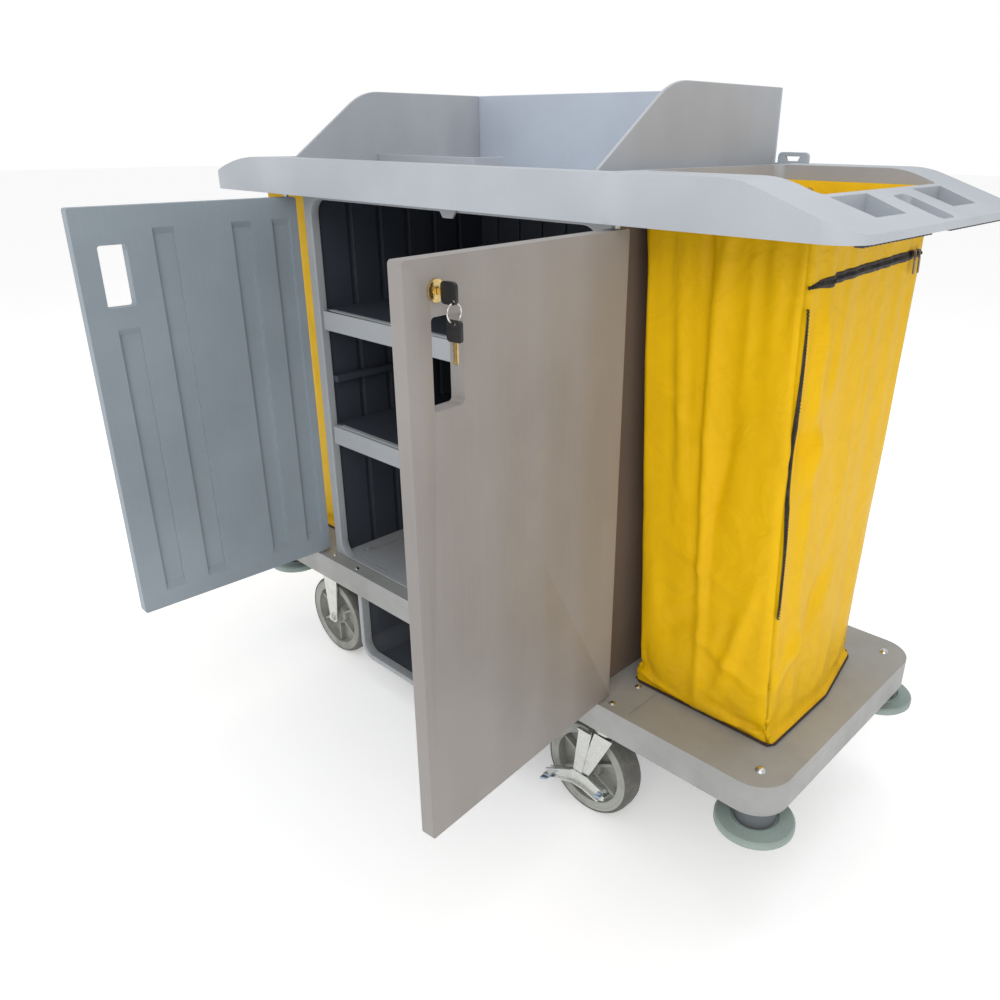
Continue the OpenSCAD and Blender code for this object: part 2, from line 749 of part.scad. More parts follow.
module tray_shell() difference() {
    tray_block(0);
    difference() {
        tray_block(tray_wall);
        slab([recess_x[0] - tray_wall, recess_x[1] + tray_wall], [recess_y[0] - tray_wall, recess_y[1] + tray_wall],
            [tray_under, tray_height + 5], 16);
        tray_wells(tray_wall, tray_bottom - 5);
        for (m = [0, 1]) mirror([0, m, 0]) translate([0, 0, cup_floor - 1])
            linear_extrude(100) cup_outline(3);
        box([slot_x[0] - 3, tray_end + 1], [-slot_half - 3, slot_half + 3], [tray_bottom - 5, tray_height]);
        for (p = [pin_left, pin_right]) translate([p, pin_y, tray_bottom - 5]) cylinder(r = 12, h = 100);
    }
    slab(recess_x, recess_y, [tray_floor, tray_height + 5], 12);
    tray_wells(0, tray_bottom - 10);
    for (m = [0, 1]) mirror([0, m, 0]) translate([0, 0, cup_floor + 3]) linear_extrude(100) cup_outline(0);
    slab(slot_x, [-slot_half, slot_half], [tray_bottom + 3, tray_height + 5], 10);
    for (p = [pin_left, pin_right])
        translate([p, pin_y, tray_bottom - 1]) cylinder(r = pin_r + run, h = door_gap + 17);
}

module end_grips() color("#4b4d50") in_place() for (m = [0, 1]) mirror([0, m, 0]) {
    x = [tray_end - grip_lip + 4, tray_end - grip_lip + 16];
    length = tray_side - tray_corner - 34;
    rib_pitch = length / round(length / 12);
    box(x, [32, 32 + length], [tray_bottom - 3, tray_bottom]);
    for (y = [32 + rib_pitch / 2 : rib_pitch : 32 + length - 1])
        box(x, [y - 3, y + 3], [tray_bottom - 6, tray_bottom - 3 + eps]);
}

// ---- Fittings on the tray ----

hood_wall = 6;
hood_x = [recess_x[0] + 11, recess_x[1] - 35];
hood_back_y = recess_y[1] - 6;
hood_top = tray_height + hood_height;
hood_slope = 35.7;
hood_round = 128;
hood_front = recess_y[0] + 8;

module hood_side_view() {
    arc_y = hood_front + (hood_height - hood_round * (1 - cos(hood_slope))) / tan(hood_slope);
    polygon(concat([[hood_back_y - hood_wall, tray_floor], [hood_front, tray_floor], [hood_front, tray_height]],
        [for (i = [0 : 8]) let (a = hood_slope * (1 - i / 8))
            [arc_y + hood_round * (sin(hood_slope) - sin(a)), hood_top - hood_round * (1 - cos(a))]],
        [[hood_back_y - hood_wall, hood_top]]));
}

module hood_sides() color(light) in_place() {
    sideways(hood_x[0], hood_x[0] + hood_wall) hood_side_view();
    sideways(hood_x[1] - hood_wall, hood_x[1]) hood_side_view();
}

module hood_back() color(light) in_place()
    box([hood_x[0], hood_x[1]], [hood_back_y - hood_wall, hood_back_y], [tray_floor, hood_top]);

divider_x = hood_x[0] + 309;
divider_y = -47;
divider_wall = 5;
divider_return = 74;    // length of its short leg towards the back
module tray_divider() color(light) in_place() {
    top = tray_height + 3;
    box([hood_x[0] + hood_wall + touch, divider_x], [divider_y, divider_y + divider_wall], [tray_floor, top]);
    box([divider_x - divider_wall, divider_x], [divider_y, divider_y + divider_wall + divider_return],
        [tray_floor, top]);
}

strike_x = pin_right - lock_s;
module strike_tab() color(light) in_place() upright(cab_front - 8, cab_front - 3.5)
    polygon([[strike_x - 34, tray_under], [strike_x - 26, tray_bottom], [strike_x - 12, bay_top - 9],
        [strike_x + 12, bay_top - 9], [strike_x + 26, tray_bottom], [strike_x + 34, tray_under]]);

loop_x = recess_x[1] - 45;
module hanger_loop() color(light) in_place() upright(tray_side - 14, tray_side - 6) difference() {
    round_rect(loop_x, loop_x + 60, tray_height - 6, tray_height + 18, 8);
    translate([loop_x - 1, tray_height - 8]) square([62, 8]);
    polygon([[loop_x + 14, tray_height + 11], [loop_x + 44, tray_height + 11], [loop_x + 40, tray_height + 3],
        [loop_x + 18, tray_height + 3]]);
}

// ---- Bags: closed shells that hang in the openings ----

right_hem = tray_height - hem_drop;
left_hem = tray_height - left_hem_drop;
bag_foot = deck_height + 0.5;
bag_corner = 14;

// A shell's outer or inner skin, from the hem down to the foot
module bag_skin(hem, x_top, x_foot, half_top, half_foot, inset) {
    module ring(x, half, z) translate([0, 0, z]) linear_extrude(1)
        round_rect(x[0] + inset, x[1] - inset, -half + inset, half - inset, bag_corner - inset, $fn = 32);
    hull() {
        ring(x_top, half_top, hem + (inset > 0 ? 1 : -1));
        ring(x_foot, half_foot, bag_foot + inset);
    }
}

right_bag_top = [well_right[0] + bag_gap, well_right[1] - bag_gap];
right_bag_foot = [well_right[0] + 24, well_right[1] - bag_gap + bag_lean];
left_bag_top = [well_left[0] + bag_gap, well_left[1] - bag_gap];
left_bag_foot = [well_left[0] + 8, well_left[1] - 8];
bag_half = well_half - bag_gap;
foot_half = bag_half - 16;

module bag(hem, x_top, x_foot) color(yellow) in_place() difference() {
    bag_skin(hem, x_top, x_foot, bag_half, foot_half, 0);
    bag_skin(hem, x_top, x_foot, bag_half, foot_half, bag_wall);
}

module bag_right() bag(right_hem, right_bag_top, right_bag_foot);
module bag_left() bag(left_hem, left_bag_top, left_bag_foot);

stud_drop = 16;      // distance of the studs below the hem
stud_taper = (bag_half - foot_half) * (stud_drop + 8) / (left_hem - bag_foot);

// Press studs through each bag's hem into the wall of its opening
module bag_snaps() color(zinc) in_place()
    for (w = [[well_right, right_hem], [well_left, left_hem]], m = [0, 1], f = [0.25, 0.75])
    mirror([0, m, 0]) translate([w[0][0] + (w[0][1] - w[0][0]) * f, 0, w[1] - stud_drop]) {
        translate([0, well_half, 0]) rotate([90, 0, 0]) cylinder(r = 7, h = bag_gap - touch);
        translate([0, bag_half - bag_wall - stud_taper - touch, 0]) rotate([90, 0, 0]) cylinder(r = 6, h = 2);
    }

// Zip sliders on the right bag's outer face, each with its pull hanging down
zip_z = tray_bottom - 55;
lean_angle = atan((right_bag_foot[1] - right_bag_top[1]) / (right_hem - bag_foot - 1));
zip_x = right_bag_top[1] + (right_hem - zip_z) * tan(lean_angle);

module zip_slider(y) color(zinc) in_place() translate([zip_x, y, zip_z]) rotate([0, -lean_angle, 0]) {
    box([touch, 5], [-5, 5], [-6, 7]);
    box([3, 5], [-3, 3], [-30, -5]);
}

base_deck();
deck_screws();
floor_pan();
lower_bin();
bin_rim();
bumper_hubs();
bumper_bolts();
bumper_disc(-bumper_x, -bumper_y);  // bumper_disc_front_left
bumper_disc(bumper_x, -bumper_y);  // bumper_disc_front_right
bumper_disc(-bumper_x, bumper_y);  // bumper_disc_rear_left
bumper_disc(bumper_x, bumper_y);  // bumper_disc_rear_right
caster_bolts();
swivel_plates();
bearing_seals();
fixed_forks();
fixed_axles();
swivel_fork(-caster_y);  // swivel_fork_front
swivel_fork(caster_y);  // swivel_fork_rear
swivel_axle(-caster_y);  // swivel_axle_front
swivel_axle(caster_y);  // swivel_axle_rear
brake_pedal(-caster_y);  // brake_pedal_front
brake_pedal(caster_y);  // brake_pedal_rear
wheel_hub(fixed_x, -caster_y);  // wheel_hub_front_left
wheel_hub(fixed_x, caster_y);  // wheel_hub_rear_left
wheel_hub(wheel_right_x, -caster_y);  // wheel_hub_front_right
wheel_hub(wheel_right_x, caster_y);  // wheel_hub_rear_right
tread(fixed_x, -caster_y);  // tread_front_left
tread(fixed_x, caster_y);  // tread_rear_left
tread(wheel_right_x, -caster_y);  // tread_front_right
tread(wheel_right_x, caster_y);  // tread_rear_right
cabinet_frame();
side_panels();
back_panel();
wall_liners();
shelf_cleats();
shelf(shelf_tops[0]);  // shelf_lower
shelf(shelf_tops[1]);  // shelf_upper
shelf_lips();
door_left();
door_right();
door_pins_left();
door_pins_right();
lock_barrel();
lock_plug();
lock_cam();
key_in_lock();
key_ring();
spare_key();
top_tray();
end_grips();
tray_divider();
strike_tab();
hanger_loop();
hood_sides();
hood_back();
bag_right();
bag_left();
bag_snaps();
zip_slider(142);  // zip_slider_front
zip_slider(160);  // zip_slider_rear
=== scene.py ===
"""The looks of a housekeeping cart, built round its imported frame: finishes, bags, zips and castings."""
import logging
import math
import random
from dataclasses import dataclass, field
from enum import Enum
from typing import Any, Callable, Sequence

import bmesh
import bpy
from mathutils import Matrix, Vector, noise


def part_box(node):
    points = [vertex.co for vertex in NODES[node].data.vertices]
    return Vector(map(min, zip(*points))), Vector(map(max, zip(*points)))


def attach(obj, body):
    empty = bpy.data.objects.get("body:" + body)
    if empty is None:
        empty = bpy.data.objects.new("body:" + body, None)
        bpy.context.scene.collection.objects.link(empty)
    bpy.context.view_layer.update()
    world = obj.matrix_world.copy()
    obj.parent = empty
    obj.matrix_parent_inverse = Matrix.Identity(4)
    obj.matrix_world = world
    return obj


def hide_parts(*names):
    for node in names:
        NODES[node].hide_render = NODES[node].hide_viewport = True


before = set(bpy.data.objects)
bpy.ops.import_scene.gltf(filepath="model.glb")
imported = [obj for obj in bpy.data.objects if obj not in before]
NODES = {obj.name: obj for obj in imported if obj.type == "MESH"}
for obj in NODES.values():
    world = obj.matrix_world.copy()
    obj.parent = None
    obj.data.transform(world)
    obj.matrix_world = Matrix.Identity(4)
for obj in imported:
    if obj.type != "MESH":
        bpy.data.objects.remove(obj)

LOG = logging.getLogger("cart")
MM = 0.001
Point = tuple[float, float, float]
Colour = tuple[float, float, float]
FRONT_SHARE, SIDE_SHARE = 0.21, 0.29    # of a bag's columns, on a narrow and on a wide side
HEM_WIDTH = 0.034
BAG_LEAN = math.radians(2.02)
RING_DROP = 24.6                        # from one key's hole down to the other's
STITCH_PITCH, STITCH_LENGTH = 0.0052, 0.0035
CLOTH_STEPS = 24
CLOTH_CAP, CLOTH_SHARE = 0.009, 0.8     # metres a point moves before it is held back, and how much is kept
ZIP_PARTS = 50                          # straight stretches a zip is measured in
UPRIGHT = Matrix(((0, 0, 1, 0), (1, 0, 0, 0), (0, 1, 0, 0), (0, 0, 0, 1)))


def linear(code: str) -> Colour:
    """Turn a screen colour such as "a9b0b6" into linear red, green and blue.

    Args:
        code: Six hexadecimal digits.

    Returns:
        The three linear values.
    """
    parts = [int(code[i:i + 2], 16) / 255 for i in (0, 2, 4)]
    return tuple(p / 12.92 if p < 0.04045 else ((p + 0.055) / 1.055) ** 2.4 for p in parts)


def shade(colour: Colour, by: float, plus: float = 0.0) -> Colour:
    """Make a colour darker or paler.

    Args:
        colour: The colour, linear.
        by: What each of its values is multiplied by.
        plus: What is then added to each.

    Returns:
        The new colour, with no value over 1.
    """
    return tuple(min(1.0, value * by + plus) for value in colour)


# ---- Shader maths ----


class Wire:
    """A node's output socket that can be used in Python expressions."""

    def __init__(self, recipe: "Recipe", socket: bpy.types.NodeSocket) -> None:
        """Keep the recipe that the socket belongs to."""
        self.recipe = recipe
        self.socket = socket

    def maths(self, operation: str, *others: "Wire | float", clamp: bool = False) -> "Wire":
        """Add a Math node with this wire as its first value."""
        return self.recipe.maths(operation, self, *others, clamp=clamp)

    def __add__(self, other: "Wire | float") -> "Wire":
        """Add a value."""
        return self.maths("ADD", other)

    __radd__ = __add__

    def __sub__(self, other: "Wire | float") -> "Wire":
        """Take a value away."""
        return self.maths("SUBTRACT", other)

    def __rsub__(self, other: float) -> "Wire":
        """Take this away from a value."""
        return self.recipe.maths("SUBTRACT", other, self)

    def __mul__(self, other: "Wire | float") -> "Wire":
        """Multiply by a value."""
        return self.maths("MULTIPLY", other)

    __rmul__ = __mul__

    def step(self, low: float, high: float) -> "Wire":
        """Go smoothly from 0 at low to 1 at high."""
        return self.recipe.node("ShaderNodeMapRange", {"interpolation_type": "SMOOTHSTEP"},
                                Value=self, **{"From Min": low, "From Max": high})

    def clamped(self) -> "Wire":
        """Hold the value between 0 and 1."""
        return self.maths("ADD", 0.0, clamp=True)


class Recipe:
    """A material being written."""

    def __init__(self, name: str) -> None:
        """Start an empty material.

        Args:
            name: The material's name.
        """
        self.material = bpy.data.materials.new(name)
        self.material.use_nodes = True
        self.tree = self.material.node_tree
        self.tree.nodes.clear()
        self.shader = self.tree.nodes.new("ShaderNodeBsdfPrincipled")
        self.out = self.tree.nodes.new("ShaderNodeOutputMaterial")
        self.tree.links.new(self.shader.outputs["BSDF"], self.out.inputs["Surface"])
        self.place = self.node("ShaderNodeTexCoord", {}, out="Object")

    def feed(self, socket: bpy.types.NodeSocket, value: Any) -> None:
        """Link a wire to an input, or set the input's value."""
        if isinstance(value, Wire):
            self.tree.links.new(value.socket, socket)
        elif socket.type == "RGBA" and len(value) == 3:
            socket.default_value = (*value, 1.0)
        else:
            socket.default_value = value

    def node(self, kind: str, settings: dict[str, Any], out: str | int = 0, **sockets: Any) -> Wire:
        """Add any node.

        Args:
            kind: The node's type.
            settings: Attributes to set first.
            out: Name or number of the output to use.
            **sockets: Values or wires for inputs, by name, or by number as _0, _1.

        Returns:
            The chosen output.
        """
        made = self.tree.nodes.new(kind)
        for key, value in settings.items():
            setattr(made, key, value)
        for key, value in sockets.items():
            self.feed(made.inputs[int(key[1:]) if key[0] == "_" else key], value)
        return Wire(self, made.outputs[out])

    def maths(self, operation: str, *values: "Wire | float", clamp: bool = False) -> Wire:
        """Add a Math node."""
        return self.node("ShaderNodeMath", {"operation": operation, "use_clamp": clamp},
                         **{f"_{i}": v for i, v in enumerate(values)})

    def mix(self, share: "Wire | float", first: Any, second: Any) -> Wire:
        """Mix two colours by a share from 0 to 1."""
        return self.node("ShaderNodeMix", {"data_type": "RGBA"}, out=2,
                         _0=share, _6=first, _7=second)

    def stretched(self, scale: Point) -> Wire:
        """Give the object's coordinates, stretched along each axis."""
        return self.node("ShaderNodeVectorMath", {"operation": "MULTIPLY"}, _0=self.place, _1=scale)

    def grain(self, scale: float, detail: float = 3.0, rough: float = 0.5, stretch: Point | None = None) -> Wire:
        """Add noise from 0 to 1 at a scale in waves per metre."""
        where = self.stretched(stretch) if stretch else self.place
        return self.node("ShaderNodeTexNoise", {}, Vector=where, Scale=scale, Detail=detail, Roughness=rough)

    def height(self) -> Wire:
        """Give the height above the floor in metres."""
        return self.node("ShaderNodeSeparateXYZ", {}, out="Z", Vector=self.place)

    def bump(self, height: Wire, strength: float, depth: float) -> Wire:
        """Turn a height from 0 to 1 into a bent normal, with its depth in metres."""
        return self.node("ShaderNodeBump", {}, out="Normal", Height=height, Strength=strength, Distance=depth)

    def done(self, **sockets: Any) -> bpy.types.Material:
        """Feed the shader, with spaces in names as underscores, and give the material."""
        for key, value in sockets.items():
            self.feed(self.shader.inputs[key.replace("_", " ")], value)
        return self.material


@dataclass(frozen=True)
class MouldedPlastic:
    """Matt moulded plastic with a fine grain, faint clouding, scuffs and dust."""

    name: str
    colour: Colour
    rough: float = 0.46
    grain_depth: float = 0.00018
    dust: float = 0.25
    streaks: float = 0.0
    waves: float = 0.0

    def make(self) -> bpy.types.Material:
        """Write the material."""
        r = Recipe(self.name)
        cloud = r.grain(2.2, 4, 0.6)
        speck = r.grain(900, 2)
        scuff = r.grain(9, 6, 0.7, (1, 1, 0.25)).step(0.62, 0.75) * r.grain(120, 3).step(0.45, 0.65)
        dirt = (1 - r.height().step(0.08, 0.42)) * r.grain(14, 5, 0.65).step(0.38, 0.68)
        dark = shade(self.colour, 0.9)
        pale = shade(self.colour, 1.07, 0.008)
        tone = r.mix(cloud.step(0.3, 0.7), dark, pale)
        tone = r.mix(speck.step(0.3, 0.7) * 0.10, tone, shade(self.colour, 0.6))
        tone = r.mix(scuff * 0.22, tone, shade(self.colour, 1.35, 0.03))
        tone = r.mix(dirt * self.dust, tone, (0.12, 0.105, 0.085))
        skin = r.grain(1400, 2) * 0.7 + r.grain(420, 2) * 0.3
        if self.streaks:
            line = r.grain(30, 3, 0.5, (12, 12, 0.3))
            tone = r.mix(line.step(0.45, 0.62) * self.streaks, tone, pale)
        rough = self.rough + (cloud - 0.5) * 0.10 + scuff * 0.12 + dirt * 0.15
        normal = r.bump(skin, 0.35, self.grain_depth)
        if self.waves:
            swell = r.node("ShaderNodeTexWave", {"bands_direction": "Y"}, out="Fac", Vector=r.place,
                           Scale=self.waves, Distortion=0.5)
            # Painted shade: the wave bands that bump the surface are also darkened in colour.
            tone = r.mix(swell.step(0.55, 0.95) * 0.10, tone, dark)
            normal = r.node("ShaderNodeBump", {}, out="Normal", Height=swell, Strength=0.6, Distance=0.0022,
                            Normal=normal)
        return r.done(Base_Color=tone, Roughness=rough.clamped(), Normal=normal, IOR=1.47)


@dataclass(frozen=True)
class PlatedSteel:
    """Zinc-plated pressed steel with a faint crystalline bloom and wear."""

    name: str
    colour: Colour = (0.58, 0.59, 0.57)
    rough: float = 0.34
    tarnish: float = 0.35

    def make(self) -> bpy.types.Material:
        """Write the material."""
        r = Recipe(self.name)
        bloom = r.node("ShaderNodeTexVoronoi", {"feature": "F1"}, out="Color", Vector=r.place, Scale=260.0)
        bloom = r.node("ShaderNodeSeparateColor", {}, out=0, Color=bloom)
        stain = r.grain(38, 5, 0.65).step(0.45, 0.75)
        brushed = r.grain(60, 3, 0.5, (1, 1, 14))
        tone = r.mix(bloom * 0.35, self.colour, shade(self.colour, 0.78))
        tone = r.mix(stain * self.tarnish, tone, (0.30, 0.27, 0.21))
        rough = self.rough + bloom * 0.08 + stain * 0.22 + (brushed - 0.5) * 0.12
        return r.done(Base_Color=tone, Metallic=1.0, Roughness=rough.clamped(),
                      Normal=r.bump(r.grain(240, 3), 0.2, 0.00015))


@dataclass(frozen=True)
class Rubber:
    """Dull rubber or a soft tyre with dust in its pores."""

    name: str
    colour: Colour
    dust_colour: Colour = (0.30, 0.28, 0.25)
    dust: float = 0.35
    rough: float = 0.72

    def make(self) -> bpy.types.Material:
        """Write the material."""
        r = Recipe(self.name)
        patch = r.grain(45, 6, 0.7).step(0.42, 0.7)
        pore = r.grain(700, 3)
        tone = r.mix(r.grain(18, 4), shade(self.colour, 0.85), shade(self.colour, 1.15))
        tone = r.mix(patch * self.dust, tone, self.dust_colour)
        return r.done(Base_Color=tone, Roughness=(self.rough + patch * 0.16 + (pore - 0.5) * 0.1).clamped(),
                      Normal=r.bump(pore, 0.4, 0.0003))


@dataclass(frozen=True)
class CoatedCloth:
    """Shiny coated cloth with its weave showing through, a soft wrinkled skin and painted shade in its creases."""

    name: str
    colour: Colour
    # The deep colour darkens the weave and is also the painted shade in the creases.
    deep: Colour
    pitch: float = 0.0011

    def make(self) -> bpy.types.Material:
        """Write the material."""
        r = Recipe(self.name)
        waves = 1 / self.pitch
        across = r.node("ShaderNodeTexWave", {"bands_direction": "Z"}, out="Fac",
                        Vector=r.place, Scale=waves / 20, Distortion=0.6)
        down = r.node("ShaderNodeTexWave", {"bands_direction": "DIAGONAL"}, out="Fac",
                      Vector=r.stretched((1, 1, 0)), Scale=waves / 20, Distortion=0.6)
        weave = across * 0.5 + down * 0.5
        cloud = r.grain(4.5, 4, 0.55, (1, 1, 0.5))
        crumple = r.node("ShaderNodeTexNoise", {}, Vector=r.place, Scale=16.0, Detail=4.0, Distortion=0.9)
        crease_shade_mask = (1 - (crumple - 0.5).maths("ABSOLUTE") * 12).clamped()
        soil = (1 - r.height().step(0.29, 0.42)) * r.grain(22, 5, 0.6).step(0.4, 0.7)
        tone = r.mix(cloud.step(0.32, 0.68), self.colour, shade(self.colour, 0.93))
        tone = r.mix(weave * 0.04, tone, self.deep)
        # Painted shade: the crumple's creases are darkened towards the deep colour.
        tone = r.mix(crease_shade_mask * 0.10, tone, self.deep)
        tone = r.mix(soil * 0.22, tone, (0.33, 0.21, 0.05))
        rough = 0.44 + (cloud - 0.5) * 0.16 + weave * 0.06 + soil * 0.15
        soft = r.bump(crumple, 0.5, 0.009)
        fine = r.node("ShaderNodeBump", {}, out="Normal", Height=weave, Strength=0.15, Distance=0.00015, Normal=soft)
        return r.done(Base_Color=tone, Roughness=rough.clamped(), Normal=fine, IOR=1.45,
                      Specular_IOR_Level=0.22)


@dataclass(frozen=True)
class Metal:
    """Smooth metal with light scratches, for the lock and its ring."""

    name: str
    colour: Colour
    rough: float = 0.25

    def make(self) -> bpy.types.Material:
        """Write the material."""
        r = Recipe(self.name)
        scratch = r.grain(420, 4, 0.6, (1, 1, 6))
        tone = r.mix(r.grain(90, 4).step(0.35, 0.7), self.colour, shade(self.colour, 0.75))
        return r.done(Base_Color=tone, Metallic=1.0, Roughness=(self.rough + (scratch - 0.5) * 0.25).clamped(),
                      Normal=r.bump(scratch, 0.15, 0.0001))


class Finish(Enum):
    """Every finish on the cart."""

    TRAY = MouldedPlastic("tray_plastic", linear("b4bac1"))
    DECK = MouldedPlastic("deck_plastic", linear("a2a3a2"), dust=0.35)
    FRAME = MouldedPlastic("frame_plastic", linear("aaaeb2"))
    HOOD = MouldedPlastic("hood_plastic", linear("b0b4b9"), waves=4.0)
    # The hood's back is a paler, bluer copy of the hood plastic: painted light on its front-facing inner face.
    LIT_HOOD_BACK = MouldedPlastic("hood_back_painted_light", linear("c0c9d6"))
    DOOR = MouldedPlastic("door_plastic", linear("949fa8"), streaks=0.12)
    # The right door's copy of the door plastic is warmer: painted warm light.
    WARM_LIT_DOOR = MouldedPlastic("right_door_painted_warm_light", linear("928d8a"), streaks=0.18, waves=3.2)
    # Side and back panels: mid-grey plastic with a warm painted reflection of the yellow bags in its colour.
    PANEL_WITH_BAG_REFLECTION = MouldedPlastic("panel_plastic", linear("76685e"))
    SLATE = MouldedPlastic("slate_plastic", linear("3a404a"), rough=0.5, streaks=0.1)
    BIN = MouldedPlastic("bin_plastic", linear("4c525b"), rough=0.5)
    HUB = MouldedPlastic("wheel_plastic", linear("a0a29c"), dust=0.5)
    SPIGOT = MouldedPlastic("bumper_hub_plastic", linear("63686c"))
    KEY = MouldedPlastic("key_plastic", linear("191a1c"), rough=0.35)
    ZINC = PlatedSteel("zinc_steel", (0.72, 0.73, 0.70), 0.26, 0.2)
    BLUED = PlatedSteel("blue_zinc_steel", (0.42, 0.52, 0.64), 0.22, 0.1)
    BRIGHT = Metal("bright_steel", (0.72, 0.72, 0.70), 0.18)
    PULL = Metal("zip_metal", (0.30, 0.24, 0.18), 0.3)
    BRASS = Metal("lock_brass", (0.80, 0.60, 0.26), 0.22)
    TREAD = Rubber("wheel_tread", linear("5c5c58"))
    BUMPER = Rubber("bumper_rubber", linear("93a29d"), rough=0.6, dust=0.2)
    GRIP = Rubber("grip_rubber", linear("4a4c50"), dust=0.15)
    SEAL = Rubber("seal_rubber", linear("1c1c1e"), dust=0.2)
    BINDING = Rubber("binding_tape", linear("3a2416"), dust=0.1)
    ZIP = Rubber("zip_tape", linear("2c221c"), dust=0.1, rough=0.55)
    VINYL = CoatedCloth("yellow_vinyl", (0.84, 0.50, 0.0), (0.56, 0.27, 0.0))


MADE: dict[Finish, bpy.types.Material] = {}


def material(finish: Finish) -> bpy.types.Material:
    """Give a finish's material, written the first time it is asked for."""
    if finish not in MADE:
        MADE[finish] = finish.value.make()
    return MADE[finish]


# ---- Mesh helpers ----


def dress(node: str, finish: Finish, edge: float = 0.0, segments: int = 2) -> bpy.types.Object:
    """Give a CAD node its finish and, where edge isn't 0, softly rounded edges.

    Args:
        node: The node's name.
        finish: Its finish.
        edge: Width of the rounding in metres.
        segments: Steps in the rounding.

    Returns:
        The node's object.
    """
    obj = NODES[node]
    for held in obj.material_slots:
        held.material = material(finish)
    if edge:
        weld = obj.modifiers.new("weld", "WELD")
        weld.merge_threshold = 1e-6
        flats = obj.modifiers.new("join_flats", "DECIMATE")
        flats.decimate_type = "DISSOLVE"
        flats.angle_limit = math.radians(0.8)
        bevel = obj.modifiers.new("soft_edges", "BEVEL")
        bevel.width = edge
        bevel.segments = segments
        bevel.limit_method = "ANGLE"
        bevel.angle_limit = math.radians(40)
        bevel.use_clamp_overlap = True
    return obj


def piece(name: str, verts: Sequence[Point], faces: Sequence[Sequence[int]], finish: Finish,
          body: str, smooth: bool = True) -> bpy.types.Object:
    """Make an object from vertices and faces, in a finish, riding on a body.

    Args:
        name: The piece's name.
        verts: Its points in the cart's frame.
        faces: Its faces as vertex numbers.
        finish: Its finish.
        body: The body it rides on.
        smooth: Whether its faces shade smoothly.

    Returns:
        The new object.
    """
    mesh = bpy.data.meshes.new(name)
    mesh.from_pydata([tuple(v) for v in verts], [], [tuple(f) for f in faces])
    mesh.validate()
    mesh.polygons.foreach_set("use_smooth", [smooth] * len(mesh.polygons))
    mesh.materials.append(material(finish))
    obj = bpy.data.objects.new(name, mesh)
    bpy.context.scene.collection.objects.link(obj)
    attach(obj, body)
    return obj


def grid_faces(rows: int, columns: int, closed: bool) -> list[tuple[int, int, int, int]]:
    """Give the quads of a grid whose points run row by row, closed round each row or open."""
    last = columns if closed else columns - 1
    return [(r * columns + c, r * columns + (c + 1) % columns, (r + 1) * columns + (c + 1) % columns,
             (r + 1) * columns + c) for r in range(rows - 1) for c in range(last)]


def tube(path: Sequence[Vector], radius: float, sides: int = 10, closed: bool = False) -> tuple[list, list]:
    """Sweep a round section along a path.

    Args:
        path: The points it follows.
        radius: The section's radius in metres.
        sides: Sides of the section.
        closed: Whether the path joins up with its start.

    Returns:
        The vertices and faces.
    """
    count = len(path)
    verts, frame_x = [], None
    for i, at in enumerate(path):
        ahead = path[(i + 1) % count] if closed or i < count - 1 else at
        behind = path[i - 1] if closed or i else at
        along = (ahead - behind).normalized()
        if frame_x is None:
            frame_x = along.orthogonal().normalized()
        frame_x = (frame_x - along * frame_x.dot(along)).normalized()
        frame_y = along.cross(frame_x)
        verts += [at + (frame_x * math.cos(t) + frame_y * math.sin(t)) * radius
                  for t in (2 * math.pi * k / sides for k in range(sides))]
    faces = grid_faces(count, sides, True)
    if closed:
        faces += [((count - 1) * sides + c, (count - 1) * sides + (c + 1) % sides, (c + 1) % sides, c)
                  for c in range(sides)]
    else:
        faces += [tuple(range(sides))[::-1], tuple((count - 1) * sides + c for c in range(sides))]
    return verts, faces


def soft_rect(x: tuple[float, float], y: tuple[float, float], r: float, steps: int = 6) -> list[tuple]:
    """Give a rounded rectangle's outline, anticlockwise.

    Args:
        x: Its left and right.
        y: Its bottom and top.
        r: Its corner radius.
        steps: Steps round each corner.

    Returns:
        The outline's points.
    """
    corners = ((x[1] - r, y[0] + r, -90), (x[1] - r, y[1] - r, 0), (x[0] + r, y[1] - r, 90), (x[0] + r, y[0] + r, 180))
    return [(cx + r * math.cos(math.radians(a + 90 * k / steps)), cy + r * math.sin(math.radians(a + 90 * k / steps)))
            for cx, cy, a in corners for k in range(steps + 1)]


